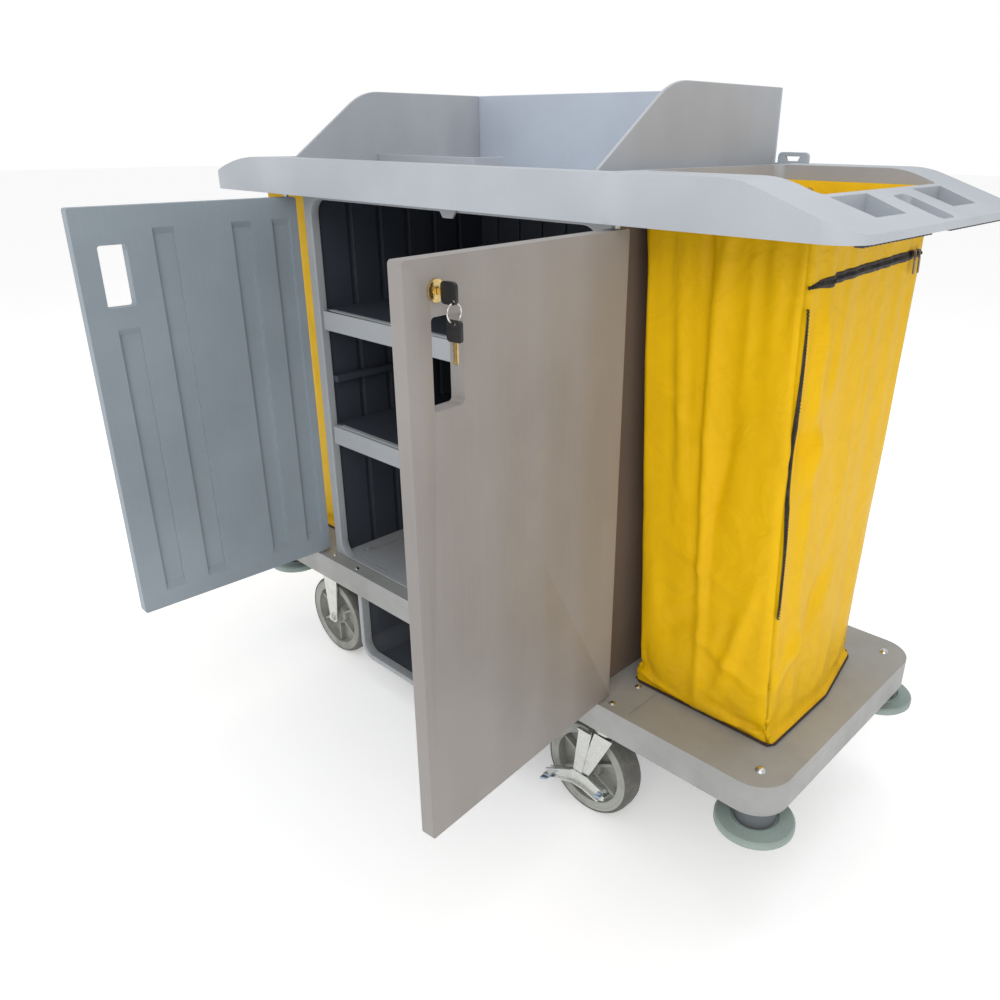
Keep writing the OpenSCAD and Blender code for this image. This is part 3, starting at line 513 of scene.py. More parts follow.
@dataclass
class Casting:
    """Small shapes in millimetres, gathered into one object with its edges softened."""

    name: str
    finish: Finish
    slot: str
    body: str
    edge: float = 0.0004
    verts: list[Vector] = field(default_factory=list)
    faces: list[tuple] = field(default_factory=list)

    def add(self, verts: Sequence[Vector], faces: Sequence[Sequence[int]], place: Matrix) -> None:
        """Add a shape, moved from millimetres in its own frame into the cart's frame."""
        base = len(self.verts)
        self.verts += [place @ (Vector(v) * MM) for v in verts]
        self.faces += [tuple(base + i for i in f) for f in faces]

    def plate(self, outline: Sequence[tuple], low: float, high: float, place: Matrix,
              hole: tuple[float, float, float] | None = None) -> None:
        """Add a flat plate, with a round hole through it where one is given.

        Args:
            outline: Its outline, anticlockwise.
            low: Its lower face.
            high: Its upper face.
            place: Where it goes.
            hole: The hole's centre and radius.
        """
        count = len(outline)
        verts = [(x, y, z) for z in (low, high) for x, y in outline]
        around = [(i, (i + 1) % count) for i in range(count)]
        faces = [(i, j, count + j, count + i) for i, j in around]
        if hole is None:
            faces += [tuple(range(count))[::-1], tuple(range(count, 2 * count))]
        else:
            turn = [math.atan2(y - hole[1], x - hole[0]) for x, y in outline]
            verts += [(hole[0] + hole[2] * math.cos(t), hole[1] + hole[2] * math.sin(t), z)
                      for z in (low, high) for t in turn]
            a, b = 2 * count, 3 * count
            faces += [(a + j, a + i, b + i, b + j) for i, j in around]
            faces += [(j, i, a + i, a + j) for i, j in around]
            faces += [(count + i, count + j, b + j, b + i) for i, j in around]
        self.add(verts, faces, place)

    def turned(self, profile: Sequence[tuple[float, float]], place: Matrix, sides: int = 48) -> None:
        """Add a ring whose closed section of radius and height is turned about Z."""
        verts = [(r * math.cos(2 * math.pi * k / sides), r * math.sin(2 * math.pi * k / sides), z)
                 for r, z in profile for k in range(sides)]
        n = len(profile)
        faces = [(a * sides + k, a * sides + (k + 1) % sides, ((a + 1) % n) * sides + (k + 1) % sides,
                  ((a + 1) % n) * sides + k) for a in range(n) for k in range(sides)]
        self.add(verts, faces, place)

    def done(self, *nodes: str) -> bpy.types.Object:
        """Make the object, standing in for CAD nodes where they are named."""
        obj = piece(self.name, self.verts, self.faces, self.finish, self.body)
        shell = bmesh.new()
        shell.from_mesh(obj.data)
        bmesh.ops.recalc_face_normals(shell, faces=shell.faces)
        sharp = math.radians(32)
        for line in shell.edges:
            if len(line.link_faces) == 2 and line.calc_face_angle(0.0) > sharp:
                line.smooth = False
        shell.to_mesh(obj.data)
        shell.free()
        if self.edge:
            bevel = obj.modifiers.new("soft_edges", "BEVEL")
            bevel.width = self.edge
            bevel.segments = 2
            bevel.limit_method = "ANGLE"
            bevel.angle_limit = sharp
        if nodes:
            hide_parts(*nodes)
        return obj


# ---- Bags ----


@dataclass
class Fold:
    """A soft ridge or dent on a bag, along a line on its unrolled sides."""

    start: tuple[float, float]
    end: tuple[float, float]
    height: float
    width: float

    def lift(self, along: float, up: float) -> float:
        """Give how far the fold lifts the cloth at a place on the unrolled sides."""
        ax, ay = self.start
        bx, by = self.end
        long = (bx - ax) ** 2 + (by - ay) ** 2
        share = max(0.0, min(1.0, ((along - ax) * (bx - ax) + (up - ay) * (by - ay)) / long))
        off = math.hypot(along - ax - share * (bx - ax), up - ay - share * (by - ay))
        ends = math.sin(math.pi * min(1.0, max(0.0, 0.12 + 0.76 * share)))
        return self.height * ends * math.exp(-(off / self.width) ** 2)


@dataclass
class Bag:
    """A hanging bag: an open sewn shell that sags a little between its seams."""

    name: str
    node: str
    seed: int
    folds: Sequence[Fold]
    rear_taper: float = 0.0
    corner: float = 0.012
    columns: int = 208
    rows: int = 150
    wall: float = 0.0016
    spare: float = 0.018

    def __post_init__(self) -> None:
        """Take the bag's size from its CAD solid."""
        low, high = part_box(self.node)
        self.middle_y = (low[1] + high[1]) / 2
        self.low_z, self.high_z = low[2] + 0.002, high[2]
        rim = [v.co for v in NODES[self.node].data.vertices if v.co.z > high[2] - 0.01]
        foot = [v.co for v in NODES[self.node].data.vertices if v.co.z < low[2] + 0.01]
        self.top = (min(p.x for p in rim), max(p.x for p in rim), max(p.y for p in rim) - self.middle_y)
        self.foot = (min(p.x for p in foot), max(p.x for p in foot), max(p.y for p in foot) - self.middle_y)
        self.grid: list[list[Vector]] = []

    def outline(self, share: float) -> list[Vector]:
        """Give one level's points, anticlockwise from the front left corner, evenly spaced.

        Args:
            share: Height from 0 at the foot to 1 at the hem.

        Returns:
            The level's points.
        """
        x0, x1, half = (a + (b - a) * share for a, b in zip(self.foot, self.top))
        z = self.low_z + (self.high_z - self.low_z) * share
        sides = [(Vector((x0, -half)), Vector((x1, -half))), (Vector((x1, -half)), Vector((x1, half))),
                 (Vector((x1, half)), Vector((x0, half))), (Vector((x0, half)), Vector((x0, -half)))]
        per_side = [round(self.columns * share_of) for share_of in (FRONT_SHARE, SIDE_SHARE) * 2]
        points = []
        for number, (a, b) in enumerate(sides):
            count = per_side[number]
            along = (b - a).normalized()
            out = Vector((along.y, -along.x))
            length = (b - a).length
            for i in range(count):
                t = i / count
                p = a + (b - a) * t
                near = min(t, 1 - t) * length
                if near < self.corner:
                    dip = self.corner - math.sqrt(max(0.0, self.corner ** 2 - (self.corner - near) ** 2))
                    p -= out * dip * 0.6
                if number == 1 and self.rear_taper:
                    p -= out * self.rear_taper * (1 - share) ** 1.5 * max(0.0, (t - 0.55) / 0.45)
                if number == 2 and self.rear_taper:
                    p.x -= self.rear_taper * (1 - share) ** 1.5 * (1 - t)
                points.append(Vector((p.x, p.y + self.middle_y, z)))
        return points

    def perimeter(self) -> float:
        """Give the hem's length round the bag."""
        x0, x1, half = self.top
        return 2 * (x1 - x0) + 4 * half

    def shaped(self) -> list[list[Vector]]:
        """Give the sewn shape as levels of points, with its soft folds pressed in."""
        random.seed(self.seed)
        levels = []
        for r in range(self.rows + 1):
            share = r / self.rows
            ring = self.outline(share)
            count = len(ring)
            level = []
            for c, p in enumerate(ring):
                out = (ring[(c + 1) % count] - ring[c - 1]).normalized().cross(Vector((0, 0, 1)))
                along = c / count * self.perimeter()
                held = min(1.0, share * 12, (1 - share) * 9)
                ripple = noise.noise(Vector((along * 9, p.z * 3.2, self.seed))) * 0.0042
                ripple += noise.noise(Vector((along * 26, p.z * 11, self.seed + 7))) * 0.0018
                lift = sum(f.lift(along, p.z) for f in self.folds)
                level.append(p + out * (ripple * held + lift * min(1.0, share * 20) - 0.004 * held))
            levels.append(level)
        return levels

    def build(self) -> None:
        """Make the bag, let its cloth settle and sew its binding and hem on."""
        levels = self.shaped()
        count = len(levels[0])
        verts = [p for level in levels for p in level]
        faces = grid_faces(self.rows + 1, count, True)
        base = len(verts)
        rings = 14
        centre = sum(levels[0], Vector()) / count
        for k in range(1, rings):
            verts += [p.lerp(centre, k / rings) for p in levels[0]]
        start = [c if k == 0 else base + (k - 1) * count + c for k in range(rings) for c in range(count)]
        for k in range(rings - 1):
            for c in range(count):
                d = (c + 1) % count
                faces.append((start[(k + 1) * count + c], start[(k + 1) * count + d],
                              start[k * count + d], start[k * count + c]))
        verts.append(centre)
        hub = len(verts) - 1
        last = base + (rings - 2) * count
        faces += [(hub, last + (c + 1) % count, last + c) for c in range(count)]
        obj = piece(self.name, verts, faces, Finish.VINYL, "cart")
        self.settle(obj, count)
        self.grid = [[obj.data.vertices[r * count + c].co.copy() for c in range(count)]
                     for r in range(self.rows + 1)]
        thick = obj.modifiers.new("wall", "SOLIDIFY")
        thick.thickness = self.wall
        thick.offset = -1
        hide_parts(self.node)
        self.bind_foot(count)
        self.sew_hem()
        width, deep = self.perimeter(), self.high_z - self.low_z
        extra = (self.foot[1] - self.foot[0]) * 2 * self.foot[2]
        round(deep + 0.2, 3)
        round(width * deep + extra, 4)

    def settle(self, obj: bpy.types.Object, count: int) -> None:
        """Let the cloth hang from its hem and rest on its sewn foot, with a little spare length to buckle.

        Args:
            obj: The bag.
            count: Points in each level.
        """
        start = [v.co.copy() for v in obj.data.vertices]
        pins = obj.vertex_groups.new(name="held")
        held_rows = max(2, round(0.03 * self.rows))
        for r in range(self.rows + 1):
            if r <= 1 or r >= self.rows - held_rows:
                pins.add(list(range(r * count, (r + 1) * count)), 1.0, "REPLACE")
        pins.add(list(range((self.rows + 1) * count, len(start))), 1.0, "REPLACE")
        cloth = obj.modifiers.new("cloth", "CLOTH")
        s = cloth.settings
        s.quality = 5
        s.mass = 0.35
        s.tension_stiffness = s.compression_stiffness = 40
        s.shear_stiffness = 25
        s.bending_stiffness = 4
        s.air_damping = 4
        s.vertex_group_mass = "held"
        s.shrink_min = -self.spare
        s.shrink_max = -self.spare
        s.use_pressure = True
        s.uniform_pressure_force = 0.25
        cloth.collision_settings.use_collision = False
        cloth.point_cache.frame_start = 1
        cloth.point_cache.frame_end = CLOTH_STEPS
        scene = bpy.context.scene
        for step in range(1, CLOTH_STEPS + 1):
            scene.frame_set(step)
        settled = obj.evaluated_get(bpy.context.evaluated_depsgraph_get()).to_mesh()
        places = [v.co.copy() for v in settled.vertices]
        obj.modifiers.remove(cloth)
        scene.frame_set(1)
        for vertex, old, new in zip(obj.data.vertices, start, places):
            move = new - old
            if move.length > CLOTH_CAP:
                move *= (CLOTH_CAP * (2 - CLOTH_CAP / move.length)) / move.length
            vertex.co = old + move * CLOTH_SHARE

    def at(self, along: float, z: float, out: float = 0.0) -> Vector:
        """Give a place on the finished side of the bag.

        Args:
            along: Distance round from the front left corner, as measured at the hem.
            z: Height above the floor.
            out: Distance to stand off the cloth.

        Returns:
            The place in the cart's frame.
        """
        count = len(self.grid[0])
        u = along / self.perimeter() * count
        v = (z - self.low_z) / (self.high_z - self.low_z) * self.rows
        c, r = int(math.floor(u)), min(self.rows - 1, max(0, int(v)))
        fu, fv = u - c, v - r
        a, b = self.grid[r][c % count], self.grid[r][(c + 1) % count]
        d, e = self.grid[r + 1][c % count], self.grid[r + 1][(c + 1) % count]
        spot = a.lerp(b, fu).lerp(d.lerp(e, fu), fv)
        normal = (b - a).cross(d - a).normalized()
        return spot + normal * out

    def bind_foot(self, count: int) -> None:
        """Sew the dark binding round the foot."""
        path = [self.grid[0][c] + Vector((0, 0, 0.0005)) for c in range(0, count, 2)]
        verts, faces = tube(path, 0.0028, 8, True)
        piece(f"{self.name}_binding", verts, faces, Finish.BINDING, "cart")

    def sew_hem(self) -> None:
        """Fold the hem over at the top and stitch it down."""
        length = self.perimeter()
        steps = 220
        top, low = self.high_z, self.high_z - HEM_WIDTH
        verts, rows = [], ((low, 0.0002), (low + 0.001, 0.0016), (top - 0.002, 0.0018), (top + 0.0006, 0.0008),
                           (top, -0.0022), (low, -0.0030))
        for z, out in rows:
            verts += [self.at(length * i / steps, min(z, self.high_z), out) + Vector((0, 0, max(0, z - self.high_z)))
                      for i in range(steps)]
        piece(f"{self.name}_hem", verts, grid_faces(len(rows), steps, True), Finish.VINYL, "cart")
        stitch_verts: list[Vector] = []
        stitch_faces: list[Sequence[int]] = []
        level = low + STITCH_LENGTH
        for i in range(int(length / STITCH_PITCH)):
            a = self.at(i * STITCH_PITCH, level, 0.0019)
            b = self.at(i * STITCH_PITCH + STITCH_LENGTH, level, 0.0019)
            verts, faces = tube([a, (a + b) / 2 + Vector((0, 0, 0.0001)), b], 0.00035, 5)
            stitch_faces += [tuple(k + len(stitch_verts) for k in f) for f in faces]
            stitch_verts += verts
        piece(f"{self.name}_stitches", stitch_verts, stitch_faces, Finish.VINYL, "cart")


@dataclass
class ZipLine:
    """A zip on a bag: its two tapes and its row of teeth along a path on the cloth."""

    name: str
    bag: Bag
    path: Callable[[float], tuple[float, float]]
    tape: float = 0.0075
    teeth: float = 0.0030
    pitch: float = 0.0025
    steps: int = 120

    def build(self) -> None:
        """Make the tapes and the teeth."""
        places = [self.path(i / self.steps) for i in range(self.steps + 1)]
        offsets = ((-1.0, 0.0003), (-0.92, 0.0009), (-0.30, 0.0011), (0.30, 0.0011), (0.92, 0.0009), (1.0, 0.0003))
        verts = []
        for i, (u, z) in enumerate(places):
            nu, nz = places[min(i + 1, self.steps)]
            pu, pz = places[max(i - 1, 0)]
            long = math.hypot(nu - pu, nz - pz)
            du, dz = -(nz - pz) / long, (nu - pu) / long
            taper = min(1.0, 0.25 + 6 * min(i, self.steps - i) / self.steps)
            verts += [self.bag.at(u + du * o * self.tape * taper, z + dz * o * self.tape * taper, lift)
                      for o, lift in offsets]
        tape = piece(f"{self.name}_tape", verts, grid_faces(len(places), len(offsets), False), Finish.ZIP,
                     "cart")
        solid = tape.modifiers.new("wall", "SOLIDIFY")
        solid.thickness = 0.0008
        solid.offset = 1
        self.make_teeth()

    def make_teeth(self) -> None:
        """Set the interlocking teeth along the middle."""
        spots = [self.path(i / ZIP_PARTS) for i in range(ZIP_PARTS + 1)]
        long = sum(math.hypot(b[0] - a[0], b[1] - a[1]) for a, b in zip(spots, spots[1:]))
        verts: list[Vector] = []
        faces: list[Sequence[int]] = []
        count = int(long / self.pitch)
        for i in range(count):
            t = (i + 0.5) / count
            (u, z), (nu, nz) = self.path(t), self.path(min(1.0, t + 0.3 / count))
            size = math.hypot(nu - u, nz - z) or 1.0
            au, az = (nu - u) / size, (nz - z) / size
            side = 1 if i % 2 else -1
            centre = (u - az * side * self.teeth * 0.28, z + au * side * self.teeth * 0.28)
            base = len(verts)
            for lift, grow in ((0.0009, 1.0), (0.0026, 0.75)):
                for a, b in ((-1, -1), (1, -1), (1, 1), (-1, 1)):
                    du = a * self.pitch * 0.36 * grow
                    dw = b * self.teeth * 0.62 * grow
                    verts.append(self.bag.at(centre[0] + au * du - az * dw, centre[1] + az * du + au * dw, lift))
            faces += [tuple(base + k for k in f) for f in
                      ((4, 5, 6, 7), (0, 1, 5, 4), (1, 2, 6, 5), (2, 3, 7, 6), (3, 0, 4, 7), (3, 2, 1, 0))]
        piece(f"{self.name}_teeth", verts, faces, Finish.SEAL, "cart", smooth=False)


# ---- Studio ----


@dataclass
class Studio:
    """Floor, lights and camera."""

    eye: Point = (1.1547, -1.0746, 1.2232)
    turn: float = 42.92
    tilt: float = 23.42
    roll: float = 0.40
    lens: float = 31.12
    shift: tuple[float, float] = (-0.0406, 0.0051)
    floor_glow: float = 0.34
    sky_light: float = 0.72

    def light(self, name: str, at: Point, to: Point, size: float, power: float, colour: Colour) -> None:
        """Hang a square soft light at a place, aimed at another."""
        data = bpy.data.lights.new(name, "AREA")
        data.shape = "SQUARE"
        data.size = size
        data.energy = power
        data.color = colour
        lamp = bpy.data.objects.new(name, data)
        lamp.location = at
        lamp.rotation_euler = (Vector(to) - Vector(at)).to_track_quat("-Z", "Y").to_euler()
        bpy.context.scene.collection.objects.link(lamp)

    def build(self) -> None:
        """Make the floor, lights, sky and camera."""
        scene = bpy.context.scene
        scene.view_settings.view_transform = "Standard"
        mesh = bpy.data.meshes.new("floor")
        far = 30.0
        mesh.from_pydata([(-far, -far, 0), (far, -far, 0), (far, far, 0), (-far, far, 0)], [], [(0, 1, 2, 3)])
        floor = bpy.data.objects.new("floor", mesh)
        scene.collection.objects.link(floor)
        r = Recipe("floor_paint")
        tone = r.mix(r.grain(3, 3), (0.88, 0.88, 0.88), (0.9, 0.9, 0.9))
        mesh.materials.append(r.done(Base_Color=tone, Roughness=0.9, Emission_Color=tone,
                                     Emission_Strength=self.floor_glow))
        world = bpy.data.worlds.new("sky")
        world.use_nodes = True
        world.node_tree.nodes["Background"].inputs["Color"].default_value = (1.0, 1.0, 1.0, 1.0)
        sky = world.node_tree.nodes["Background"].inputs["Strength"]
        seen = world.node_tree.nodes.new("ShaderNodeLightPath").outputs["Is Camera Ray"]
        spread = world.node_tree.nodes.new("ShaderNodeMapRange")
        spread.inputs["To Min"].default_value = self.sky_light
        spread.inputs["To Max"].default_value = 1.0
        world.node_tree.links.new(seen, spread.inputs["Value"])
        world.node_tree.links.new(spread.outputs[0], sky)
        scene.world = world
        self.light("key", (2.4, -3.2, 3.4), (0.0, 0.0, 0.6), 2.6, 58, (1.0, 0.975, 0.94))
        self.light("fill", (-3.4, -2.6, 2.2), (0.0, 0.0, 0.6), 3.0, 16, (0.93, 0.965, 1.0))
        self.light("top", (0.2, 0.6, 4.2), (0.0, 0.0, 0.9), 3.2, 38, (0.94, 0.97, 1.0))
        data = bpy.data.cameras.new("camera")
        data.sensor_width = 36.0
        data.lens = self.lens
        data.shift_x, data.shift_y = self.shift
        camera = bpy.data.objects.new("camera", data)
        camera.matrix_world = (Matrix.Translation(self.eye) @ Matrix.Rotation(math.radians(self.turn), 4, "Z")
                               @ Matrix.Rotation(math.radians(90 - self.tilt), 4, "X")
                               @ Matrix.Rotation(math.radians(self.roll), 4, "Z"))
        scene.collection.objects.link(camera)
        scene.camera = camera


# ---- The cart ----


@dataclass
class Body:
    """The moulded body: deck, cabinet, doors, tray, hood and bin, in their finishes."""

    soft: float = 0.0025
    softer: float = 0.004

    def dress(self) -> None:
        """Give every moulded node its finish."""
        plan = {Finish.DECK: {"base_deck": self.softer},
                Finish.TRAY: {"top_tray": self.softer, "tray_divider": 0.001, "hanger_loop": 0.001},
                Finish.HOOD: {"hood_sides": 0.0015}, Finish.LIT_HOOD_BACK: {"hood_back": 0.0015},
                Finish.WARM_LIT_DOOR: {"door_right": self.soft},
                Finish.FRAME: {"cabinet_frame": self.soft, "shelf_lips": self.soft, "floor_pan": 0.001,
                               "bin_rim": 0.002, "strike_tab": 0.0008},
                Finish.DOOR: {"door_left": self.soft},
                Finish.PANEL_WITH_BAG_REFLECTION: {"side_panels": 0.001, "back_panel": 0.0015},
                Finish.SLATE: {"wall_liners": 0.0015, "shelf_cleats": 0.0015, "shelf_lower": 0.002,
                               "shelf_upper": 0.002},
                Finish.BIN: {"lower_bin": 0.0015}, Finish.GRIP: {"end_grips": 0.0006}}
        for finish, nodes in plan.items():
            for node, edge in nodes.items():
                dress(node, finish, edge)


@dataclass
class Metalwork:
    """Casters, bumpers, bolts, pins and the lock, in their finishes."""

    def dress(self) -> None:
        """Give every metal, rubber and small node its finish."""
        for node in ("caster_bolts", "swivel_plates", "fixed_forks", "fixed_axles", "swivel_fork_front",
                     "swivel_fork_rear", "swivel_axle_front", "swivel_axle_rear", "brake_pedal_front",
                     "brake_pedal_rear", "door_pins_left", "door_pins_right", "lock_cam"):
            dress(node, Finish.ZINC, 0.0006)
        for node in ("deck_screws", "bumper_bolts", "bag_snaps", "key_ring"):
            dress(node, Finish.BRIGHT)
        for node in ("lock_barrel", "lock_plug"):
            dress(node, Finish.BRASS, 0.0004)
        dress("bearing_seals", Finish.SEAL, 0.0008)
        dress("bumper_hubs", Finish.SPIGOT, 0.001)
        for corner in ("front_left", "front_right", "rear_left", "rear_right"):
            dress(f"wheel_hub_{corner}", Finish.HUB, 0.001)
            dress(f"tread_{corner}", Finish.TREAD)
            dress(f"bumper_disc_{corner}", Finish.BUMPER)


@dataclass
class Keys:
    """The key in the lock and the spare one on its ring, drawn about the lock's axis.

    In the lock's own frame X runs to the door's free edge, Y goes in through the door and Z is up.
    """

    pin: Point = (0.367, -0.071605, 0.0)
    open_angle: float = 94.8
    lock: Point = (0.377, 0.0, 1.061)
    ring_y: float = -39.0
    hole_z: float = -9.0
    head_half: float = 2.0
    pad_half: float = 2.35
    eye_r: float = 2.9

    def frame(self) -> Matrix:
        """Give the matrix from the lock's frame to the cart's frame."""
        turn = Matrix.Rotation(math.radians(self.open_angle), 4, "Z")
        flip = Matrix.Diagonal((-1.0, 1.0, 1.0, 1.0))
        return Matrix.Translation(self.pin) @ turn @ flip @ Matrix.Translation(self.lock)

    def blade(self, start: float, end: float, half: float) -> list[tuple]:
        """Give a bitted blade's outline running along the first axis, with its cuts on one edge."""
        depth = (0.2, 1.5, 0.7, 1.9, 1.0, 1.6, 0.5)
        step = (end - start) / (len(depth) + 1)
        cuts = []
        for i, cut in enumerate(depth):
            mid = start + step * (i + 1)
            cuts += [(mid - step * 0.22, half - cut), (mid + step * 0.22, half - cut)]
        return [(start, -half), (end - step * 0.5, -half), (end, -half * 0.2)] + cuts[::-1] + [(start, half)]

    def build(self) -> None:
        """Make both keys' heads and blades."""
        here = self.frame() @ UPRIGHT
        bow = soft_rect((self.ring_y - 5, self.ring_y + 18), (-13, 12), 5.5)
        head = Casting("key_head", Finish.KEY, "key_black", "lock", 0.0006)
        head.plate(bow, -self.head_half, self.head_half, here, (self.ring_y, self.hole_z, self.eye_r))
        head.plate(soft_rect((self.ring_y + 3, self.ring_y + 14), (-4, 9), 2.5), -self.pad_half, self.pad_half, here)
        head.done("key_in_lock")
        shank = Casting("key_shank", Finish.BRASS, "brass_lock", "lock", 0.0002)
        shank.plate([(-23, -3.8), (-2, -3.8), (-2, 3.8), (-23, 3.8)], -1.0, 1.0, here)
        shank.done()
        hang = self.hole_z - RING_DROP
        spare = Casting("spare_key_head", Finish.KEY, "key_black", "loose_key", 0.0006)
        place = here @ Matrix.Translation((self.ring_y * MM, hang * MM, 0))
        spare.plate(soft_rect((-11, 11), (-20, 4.5), 4.0), -self.head_half, self.head_half, place, (0, 0, self.eye_r))
        spare.plate(soft_rect((-7.5, 7.5), (-17, -5), 2.5), -self.pad_half, self.pad_half, place)
        spare.done("spare_key")
        blade = Casting("spare_key_blade", Finish.BRASS, "brass_lock", "loose_key", 0.00015)
        down = place @ Matrix(((0, 1, 0, 0), (-1, 0, 0, 0), (0, 0, 1, 0), (0, 0, 0, 1)))
        blade.plate(self.blade(19, 46, 3.9), -1.0, 1.0, down)
        blade.plate(self.blade(21, 44, 1.2), -1.15, 1.15, down)
        blade.done()


@dataclass
class Slider:
    """A zip's slider with its neck, its bail and its pull."""

    name: str
    node: str
    body: str

    def build(self) -> None:
        """Make the slider where its CAD solid stands."""
        low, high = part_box(self.node)
        middle = Vector(((low[0] + high[0]) / 2 - 0.0025, (low[1] + high[1]) / 2, high[2] - 0.007))
        place = Matrix.Translation(middle) @ Matrix.Rotation(-BAG_LEAN, 4, "Y") @ UPRIGHT
        wings = [(-5, 6.5), (-5, 1), (-3.2, -6), (3.2, -6), (5, 1), (5, 6.5), (2, 7), (0, 4), (-2, 7)]
        metal = Casting(self.name, Finish.PULL, "zinc_steel", self.body, 0.0003)
        metal.plate(wings, 0.4, 1.4, place)
        metal.plate([(x * 0.9, y * 0.9) for x, y in wings], 3.0, 4.0, place)
        metal.plate([(-1, -3), (1, -3), (1, 3), (-1, 3)], 1.2, 3.2, place)
        metal.plate([(-0.9, -5), (0.9, -5), (0.9, 4.5), (-0.9, 4.5)], 4.0, 5.2, place)
        metal.plate(soft_rect((-3.2, 3.2), (-30, -4), 2.4), 3.6, 5.0, place, (0, -7.5, 1.5))
        metal.plate(soft_rect((-1.9, 1.9), (-27.5, -12), 1.5), 3.3, 5.3, place)
        metal.done(self.node)


@dataclass
class CasterTrim:
    """Trim of one side's casters: rings on both hubs, fork flanges, the lever's fold and its blued tips."""

    side: str

    def wheel(self, corner: str) -> None:
        """Add the hub's bearing boss, rim bead and web rings on both faces."""
        low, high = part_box(f"tread_{corner}")
        mid = Vector([(a + b) / 2 for a, b in zip(low, high)])
        for face in (-1, 1):
            place = Matrix.Translation(mid) @ Matrix.Rotation(math.radians(90 * face), 4, "X")
            ring = Casting(f"hub_rings_{corner}_{'near' if face > 0 else 'far'}", Finish.HUB, "hub_plastic",
                           f"wheel_{corner}", 0.0006)
            ring.turned([(92, 18), (92, 22.8), (86, 22.8), (84, 20)], place, 72)
            ring.turned([(77, 20), (76, 22.6), (73.5, 22.4), (73, 19)], place, 72)
            ring.turned([(26, 3), (25, 14), (20, 17), (16, 17), (16, 3)], place)
            ring.done()

    def build(self) -> None:
        """Add the trim of this side's two casters."""
        for lr in ("left", "right"):
            self.wheel(f"{self.side}_{lr}")
        low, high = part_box(f"swivel_fork_{self.side}")
        out = -1 if self.side == "front" else 1
        edge_y = low[1] if out < 0 else high[1]
        axle_low, axle_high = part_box(f"swivel_axle_{self.side}")
        axle_x = (axle_low[0] + axle_high[0]) / 2
        face = Matrix(((1, 0, 0, 0), (0, 0, out, 0), (0, 1, 0, 0), (0, 0, 0, 1)))
        place = Matrix.Translation((axle_x, edge_y, 0.1)) @ face
        fork = Casting(f"fork_flange_{self.side}", Finish.ZINC, "zinc_steel", f"swivel_caster_{self.side}", 0.0006)
        fork.plate([(-13, -8), (4, -14), (18, -2), (72, 108), (30, 108), (8, 34)], -0.2, 1.2, place)
        fork.plate([(-17, -4), (3, -8), (26, 106), (-5, 106)], 0.8, 3.2, place)
        fork.plate([(-5, 102), (26, 102), (26, 106), (-5, 106)], 2.0, 8.0, place)
        fork.done()
        lever = Casting(f"lever_fold_{self.side}", Finish.ZINC, "zinc_steel", f"pedal_{self.side}", 0.0005)
        lever.plate([(-82, -51), (-60, -44), (-14, -25), (12, -25), (50, -34), (61, -30), (60, -12), (22, 1),
                     (-18, 1), (-84, -34)], 3.4, 5.4, place)
        lever.plate([(-80, -51), (-14, -26), (12, -26), (50, -35), (50, -32), (12, -23), (-14, -23), (-80, -48)],
                    5.2, 11, place)
        lever.plate([(-82, -37), (-18, -2), (-18, 1), (-84, -34)], 5.2, 9, place)
        lever.done()
        tips = Casting(f"lever_tips_{self.side}", Finish.BLUED, "zinc_steel", f"pedal_{self.side}", 0.0008)
        tips.plate([(-86, -52), (-66, -42), (-64, -38), (-84, -45)], 6, 24, place)
        tips.plate([(46, -19), (62, -15), (62, -11), (47, -15)], 6, 18, place)
        tips.done()


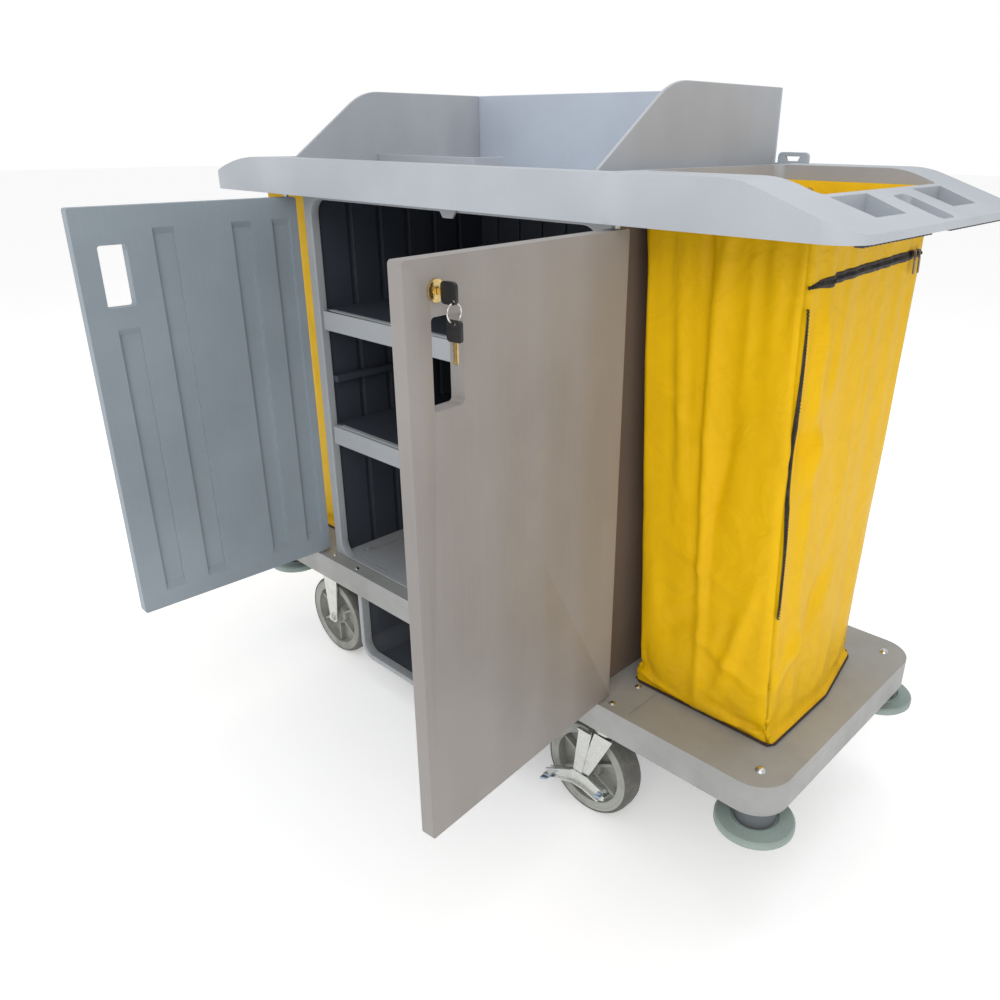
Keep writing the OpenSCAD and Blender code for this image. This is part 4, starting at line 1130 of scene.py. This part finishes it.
def make_bags() -> tuple[Bag, Bag]:
    """Make both bags and the right one's zips."""
    right = Bag("right_bag", "bag_right", 3, [
        Fold((0.135, 0.31), (0.128, 1.12), 0.009, 0.009),
        Fold((0.10, 1.12), (0.13, 1.02), -0.009, 0.013), Fold((0.15, 1.12), (0.136, 1.00), 0.009, 0.011),
        Fold((0.20, 1.10), (0.262, 0.99), 0.009, 0.013), Fold((0.255, 0.79), (0.275, 0.80), 0.008, 0.012),
        Fold((0.275, 0.80), (0.39, 0.86), -0.009, 0.016), Fold((0.36, 0.30), (0.33, 1.12), 0.011, 0.02),
        Fold((0.13, 0.80), (0.03, 0.86), 0.007, 0.013), Fold((0.13, 0.46), (0.25, 0.40), 0.009, 0.013),
        Fold((0.13, 0.50), (0.03, 0.42), -0.008, 0.014), Fold((0.27, 0.40), (0.40, 0.50), 0.010, 0.018),
        Fold((0.06, 1.08), (0.09, 0.70), 0.006, 0.012), Fold((0.20, 0.92), (0.14, 0.66), -0.008, 0.013),
        Fold((0.05, 0.62), (0.20, 0.56), 0.007, 0.012), Fold((0.44, 0.98), (0.30, 0.72), 0.009, 0.016),
        Fold((0.48, 0.60), (0.34, 0.40), -0.009, 0.018), Fold((0.31, 1.02), (0.36, 0.92), 0.007, 0.012),
        Fold((0.17, 0.36), (0.24, 0.60), 0.008, 0.012)],
        rear_taper=0.03)
    right.build()
    corner = FRONT_SHARE * right.perimeter()
    ZipLine("side_zip", right, lambda t: (corner + 0.006 + 0.37 * t, 1.037 + 0.0145 * t ** 0.7)).build()
    ZipLine("corner_zip", right, lambda t: (corner + 0.003 * math.sin(9 * t) + 0.007, 0.54 + 0.47 * t),
            tape=0.0030, teeth=0.0018).build()
    left = Bag("left_bag", "bag_left", 11, [
        Fold((0.10, 0.31), (0.10, 1.12), 0.005, 0.010), Fold((0.06, 1.12), (0.09, 1.00), -0.006, 0.016),
        Fold((0.30, 0.35), (0.36, 0.90), 0.005, 0.03), Fold((0.70, 0.40), (0.75, 1.0), 0.005, 0.03),
        Fold((0.50, 1.10), (0.55, 0.95), -0.006, 0.02)])
    left.build()
    return right, left


def main() -> None:
    """Build the cart's looks in order and report each part."""
    logging.basicConfig(level=logging.INFO, format="%(message)s")
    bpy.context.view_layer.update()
    Studio().build()
    LOG.info("studio ready")
    Body().dress()
    LOG.info("body dressed")
    Metalwork().dress()
    Keys().build()
    for side in ("front", "rear"):
        Slider(f"zip_pull_{side}", f"zip_slider_{side}", f"zip_{side}").build()
        CasterTrim(side).build()
    LOG.info("metalwork dressed")
    make_bags()
    LOG.info("bags hung")


if __name__ == "__main__":
    main()
